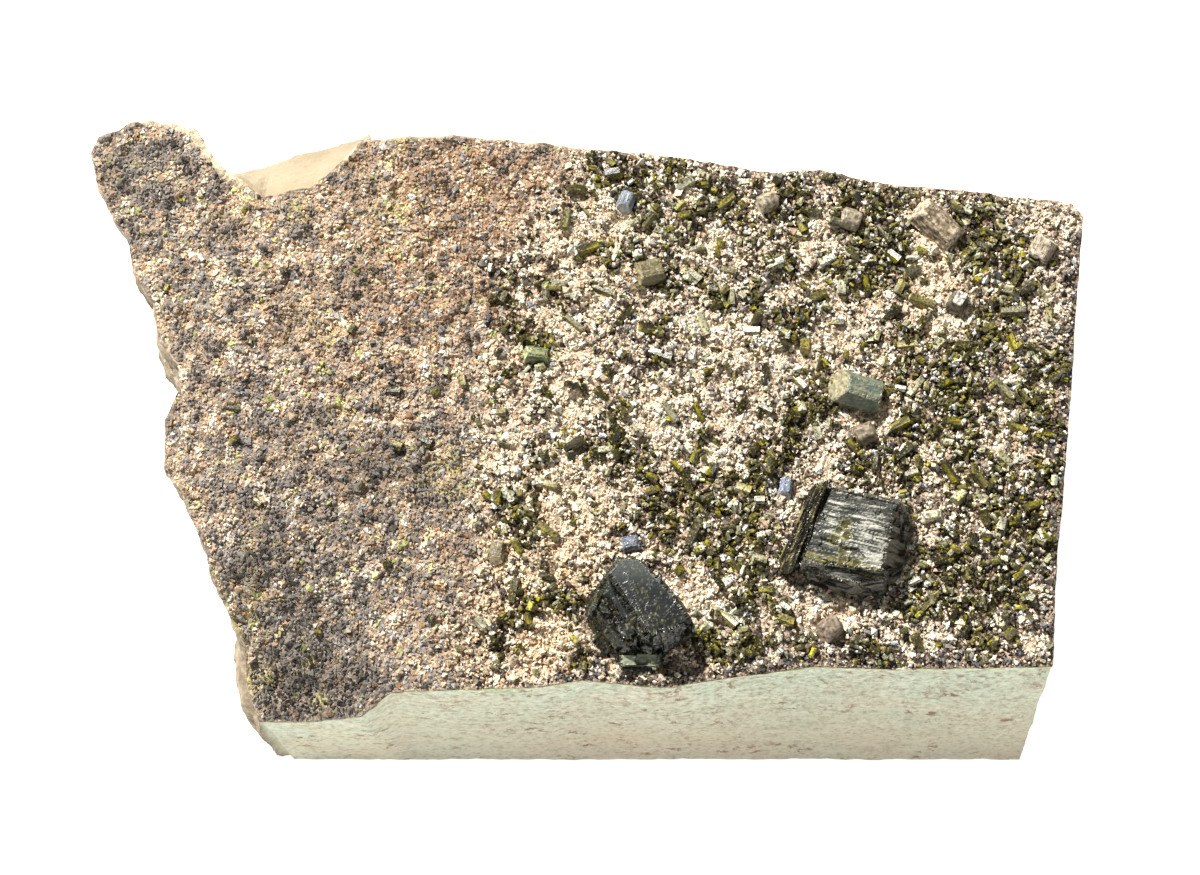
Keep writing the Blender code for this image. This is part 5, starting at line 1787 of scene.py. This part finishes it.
def left_tint(place, normal, height, edge):
    """Slate with sparks on top, darker with cracks on the flanks, sage on the foot ledge, with painted
    highlights on edges and ridges.
    """
    if on_left_top(place, normal):
        pale = smooth((place.y - LEFT_PALE_Y) / LEFT_PALE_WIDTH)
        colour = blend(SLATE_INK, SLATE_GREY, pale)
        crest_x, crest_y, slant = LEFT_CREST
        rim = smooth(1.0 - abs(place.x - crest_x - slant * (crest_y - place.y)) / LEFT_CREST_HALF)
        rim += smooth((LEFT_FRONT_Y - place.y) / LEFT_CREST_HALF)
        moss = smooth(5.0 * noise.fractal(place / 0.22, 0.7, 2.2, 2) - 2.0 + 0.9 * min(rim, 1.0))
        colour = blend(colour, MOSS, 0.35 * moss * min(rim + 0.3, 1.0))
        spark = smooth((noise.noise(place / 0.16) - 0.42) / 0.1)
        colour = blend(colour, SLATE_RIM, 0.6 * spark)
        # Painted highlight on the top's edges
        return tuple(blend(colour, SLATE_RIM, 0.7 * edge))
    mottle = smooth(0.3 + 1.6 * noise.noise(place / 0.5)) * smooth((3.0 - place.x) / 2.0)
    colour = blend(PITCH, OLIVE_BROWN, smooth(0.05 + 1.1 * noise.noise(place / 0.8)))
    colour = blend(colour, OLIVE, 0.25 * mottle)
    crack = noise.noise(Vector((place.dot(LEFT_AXIS) / 1.8, place.x / 0.45, place.z / 0.45)))
    colour = blend(colour, SLATE_RIM, 0.5 * smooth(1.0 - abs(crack) / 0.045))
    low = place.z < face_height(place.x, place.y) + FOOT_LEDGE_RISE
    if low and place.y < FOOT_LEDGE_Y and normal.z > 0.6:
        colour = Vector(SAGE)
    # Painted highlights on the flanks' edges and ridges
    return tuple(blend(colour, SAGE, 0.16 * edge + 0.04 * smooth(height / 0.15)))


# The large crystals: blocks, relief, tint, the direction of the streaks, roughness and the share of painted
# sheen
BIG_LOOKS = {
    "epidote_right": (BIG_RIGHT_BLOCKS, right_relief, right_tint, -13.8, 0.3, 0.2),
    "epidote_left": (BIG_LEFT_BLOCKS, left_relief, left_tint, -64.5, 0.27, 0.06),
}


def make_big_crystals():
    """The two large crystals, each in place of its solid."""
    for name, (blocks, relief, tint, along, roughness, painted_sheen) in BIG_LOOKS.items():
        hulls = [hull(big_points(corners)) for corners in blocks.values()]
        mesh = carved(name, hulls, BIG_VOXEL, relief, tint)
        material = crystal_material(name, along, roughness, SILVER, painted_sheen)
        add_piece(mesh, material, "dark_epidote", [name.replace("epidote_", "epidote_large_")])


# Lone crystals: slot, main colour, colour of its ends that also paints its sheen streaks and its highlights
# on ridges and edges, roughness
LONE_LOOKS = {
    "blue_green_prism": ("blue_green_crystal", linear(112, 126, 112), linear(176, 168, 136), 0.3),
    "tan_crystal_back_left": ("tan_crystal", linear(160, 146, 122), linear(192, 180, 154), 0.45),
    "tan_crystal_back_right": ("tan_crystal", linear(160, 148, 124), linear(196, 184, 160), 0.45),
    "cream_striated_block": ("cream_crystal", linear(136, 118, 92), linear(212, 194, 168), 0.5),
    "cream_crystal_corner": ("cream_crystal", linear(176, 160, 136), linear(222, 210, 190), 0.5),
    "brown_green_tablet": ("green_epidote", linear(120, 112, 80), linear(170, 160, 124), 0.35),
    "slate_prism_back": ("slate_crystal", linear(122, 130, 138), linear(186, 192, 198), 0.25),
    "green_prism_middle": ("green_epidote", linear(96, 104, 72), linear(196, 200, 150), 0.28),
    "slate_tablet_front": ("slate_crystal", linear(92, 98, 110), linear(164, 170, 182), 0.25),
    "slate_prism_middle": ("slate_crystal", linear(122, 132, 152), linear(190, 196, 208), 0.25),
    "tan_crystal_front": ("tan_crystal", linear(138, 122, 104), linear(172, 154, 136), 0.5),
    "tan_crystal_middle": ("tan_crystal", linear(134, 120, 98), linear(166, 152, 126), 0.5),
    "cream_prism_right": ("cream_crystal", linear(214, 204, 170), linear(240, 236, 214), 0.4),
    "white_topped_cube": ("cream_crystal", linear(84, 74, 56), linear(234, 230, 218), 0.35),
    "dark_cream_prism_left": ("green_epidote", linear(112, 100, 76), linear(212, 198, 168), 0.35),
}
LONE_STRIATION = 0.55
LONE_DEPTH = 0.09
LONE_PITS = 0.05
LONE_SPOT = 0.3
# The share of painted sheen on the lone crystals
LONE_PAINTED_SHEEN = 0.25
LONE_ROUNDING = {"tan_crystal": 26, "cream_crystal": 6, "blue_green_crystal": 4}
LONE_MOTTLE = {"tan_crystal": 0.65, "green_epidote": 0.4, "cream_crystal": 0.75, "blue_green_crystal": 0.45}


def lone_relief(slot, axis):
    """The relief of a lone crystal: pits, and striations along its axis unless it is tan."""
    def relief(place, normal):
        pits = pits_height(place, LONE_PITS)
        if slot == "tan_crystal":
            return 2.0 * pits
        return striation(place, normal, axis, LONE_STRIATION, LONE_DEPTH) + pits

    return relief


def lone_tint(name, axis):
    """The tint of a lone crystal: its second colour on its ends, and as painted highlights on its ridges
    and edges, and brown spots.
    """
    slot, body, ends, _ = LONE_LOOKS[name]

    def tint(place, normal, height, edge):
        share = smooth(abs(normal.dot(axis)) * 2.0 - 0.8)
        # Painted highlights on ridges and edges
        share = max(share, 0.5 * smooth(height / 0.08), 0.5 * edge)
        if name == "white_topped_cube":
            share = smooth((normal.z - 0.6) / 0.25)
        if name == "cream_striated_block":
            share = max(share, smooth(height / 0.04 - 0.2))
        grey = 0.35 * noise.noise(place / 0.8)
        colour = blend(body, ends, min(max(share + grey, 0.0), 1.0))
        spots = smooth((noise.fractal(place / LONE_SPOT, 0.8, 2.2, 3) + 0.05) / 0.35)
        return tuple(blend(colour, OLIVE_BROWN, LONE_MOTTLE.get(slot, 0.15) * spots))

    return tint


def make_lone_crystals():
    """The crystals of LONE_CRYSTALS with striations and pits, each in place of its solid."""
    for name, ((x, y), size, turn, lean, sunk) in LONE_CRYSTALS.items():
        slot, _, ends, roughness = LONE_LOOKS[name]
        z = face_height(x, y) + (0.5 - sunk) * size[2]
        points = placed(prism_points(size), x, y, z, turn, lean)
        angle = math.radians(turn)
        flat = math.cos(math.radians(lean))
        axis = Vector((math.cos(angle) * flat, math.sin(angle) * flat, -math.sin(math.radians(lean))))
        rounding = LONE_ROUNDING.get(slot, 2)
        relief = lone_relief(slot, axis)
        tint = lone_tint(name, axis)
        mesh = carved(name + "_crystal", [hull(points)], LONE_VOXEL, relief, tint, rounding)
        material = crystal_material(name, turn, roughness, ends, LONE_PAINTED_SHEEN)
        add_piece(mesh, material, slot, [name])


# Floor, light and camera

CAMERA_ELEVATION = 75.0
CAMERA_DISTANCE = 303.0
CAMERA_TARGET = (0.5, -1.4, 20.0)
TARGET_PIXEL = (587.0, 425.0)
IMAGE_SIZE = (1200.0, 875.0)
LENS = 100.0
SENSOR_WIDTH = 36.0
CLIP_START = 0.01
CLIP_END = 20.0
FLOOR_HALF = 3.0
FLOOR_GREY = 0.92
FLOOR_GLOW = 0.8
KEY = {"azimuth": 125.0, "elevation": 46.0, "strength": 7.4, "angle": 4.0, "colour": (1.0, 0.975, 0.94)}
FILL = {"azimuth": -80.0, "elevation": 12.0, "strength": 0.88, "angle": 50.0, "colour": (0.96, 0.98, 1.0)}
WORLD_STRENGTH = 0.15


def make_floor():
    corners = [(x * FLOOR_HALF, y * FLOOR_HALF, 0.0) for x, y in ((-1, -1), (1, -1), (1, 1), (-1, 1))]
    mesh = bpy.data.meshes.new("floor")
    mesh.from_pydata(corners, [], [(0, 1, 2, 3)])
    floor = bpy.data.objects.new("floor", mesh)
    bpy.context.scene.collection.objects.link(floor)
    nodes = Nodes("floor", 1.0, 0.0)
    nodes.shader.inputs["Base Color"].default_value = (FLOOR_GREY, FLOOR_GREY, FLOOR_GREY, 1.0)
    nodes.shader.inputs["Emission Color"].default_value = (1.0, 1.0, 1.0, 1.0)
    nodes.shader.inputs["Emission Strength"].default_value = FLOOR_GLOW
    mesh.materials.append(nodes.material)
    floor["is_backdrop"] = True


def make_sun(name, azimuth, elevation, strength, angle, colour):
    """A distant lamp; azimuth is where it stands, in degrees from +X towards +Y."""
    light = bpy.data.lights.new(name, "SUN")
    light.energy = strength
    light.angle = math.radians(angle)
    light.color = colour
    item = bpy.data.objects.new(name, light)
    up = math.radians(elevation)
    around = math.radians(azimuth)
    stand = Vector((math.cos(up) * math.cos(around), math.cos(up) * math.sin(around), math.sin(up)))
    item.rotation_euler = stand.to_track_quat("Z", "Y").to_euler()
    bpy.context.scene.collection.objects.link(item)


def make_lights():
    make_sun("key", **KEY)
    make_sun("fill", **FILL)
    world = bpy.data.worlds.new("studio")
    world.use_nodes = True
    background = world.node_tree.nodes["Background"]
    background.inputs["Color"].default_value = (1.0, 1.0, 1.0, 1.0)
    background.inputs["Strength"].default_value = WORLD_STRENGTH
    bpy.context.scene.world = world


def make_camera():
    data = bpy.data.cameras.new("camera")
    data.lens = LENS
    data.sensor_width = SENSOR_WIDTH
    data.clip_start = CLIP_START
    data.clip_end = CLIP_END
    data.shift_x = (0.5 * IMAGE_SIZE[0] - TARGET_PIXEL[0]) / IMAGE_SIZE[0]
    data.shift_y = (TARGET_PIXEL[1] - 0.5 * IMAGE_SIZE[1]) / IMAGE_SIZE[0]
    camera = bpy.data.objects.new("camera", data)
    up = math.radians(CAMERA_ELEVATION)
    away = Vector((0.0, -math.cos(up), math.sin(up))) * CAMERA_DISTANCE
    camera.location = (Vector(CAMERA_TARGET) + away) * MM
    camera.rotation_euler = (math.radians(90.0 - CAMERA_ELEVATION), 0.0, 0.0)
    bpy.context.scene.collection.objects.link(camera)
    bpy.context.scene.camera = camera


def main():
    rim = rim_points()
    make_host_rock(rim)
    make_ground(rim)
    make_left_grains(rim)
    make_pale_grains(rim)
    make_dark_grains(rim)
    make_small_prisms(rim)
    make_big_crystals()
    make_lone_crystals()
    make_floor()
    make_lights()
    make_camera()
    bpy.context.scene.view_settings.view_transform = "Standard"


main()
boxes = {"cad": cad_box, "visual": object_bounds()}
{key: [[float(c) for c in corner] for corner in box] for key, box in boxes.items()}
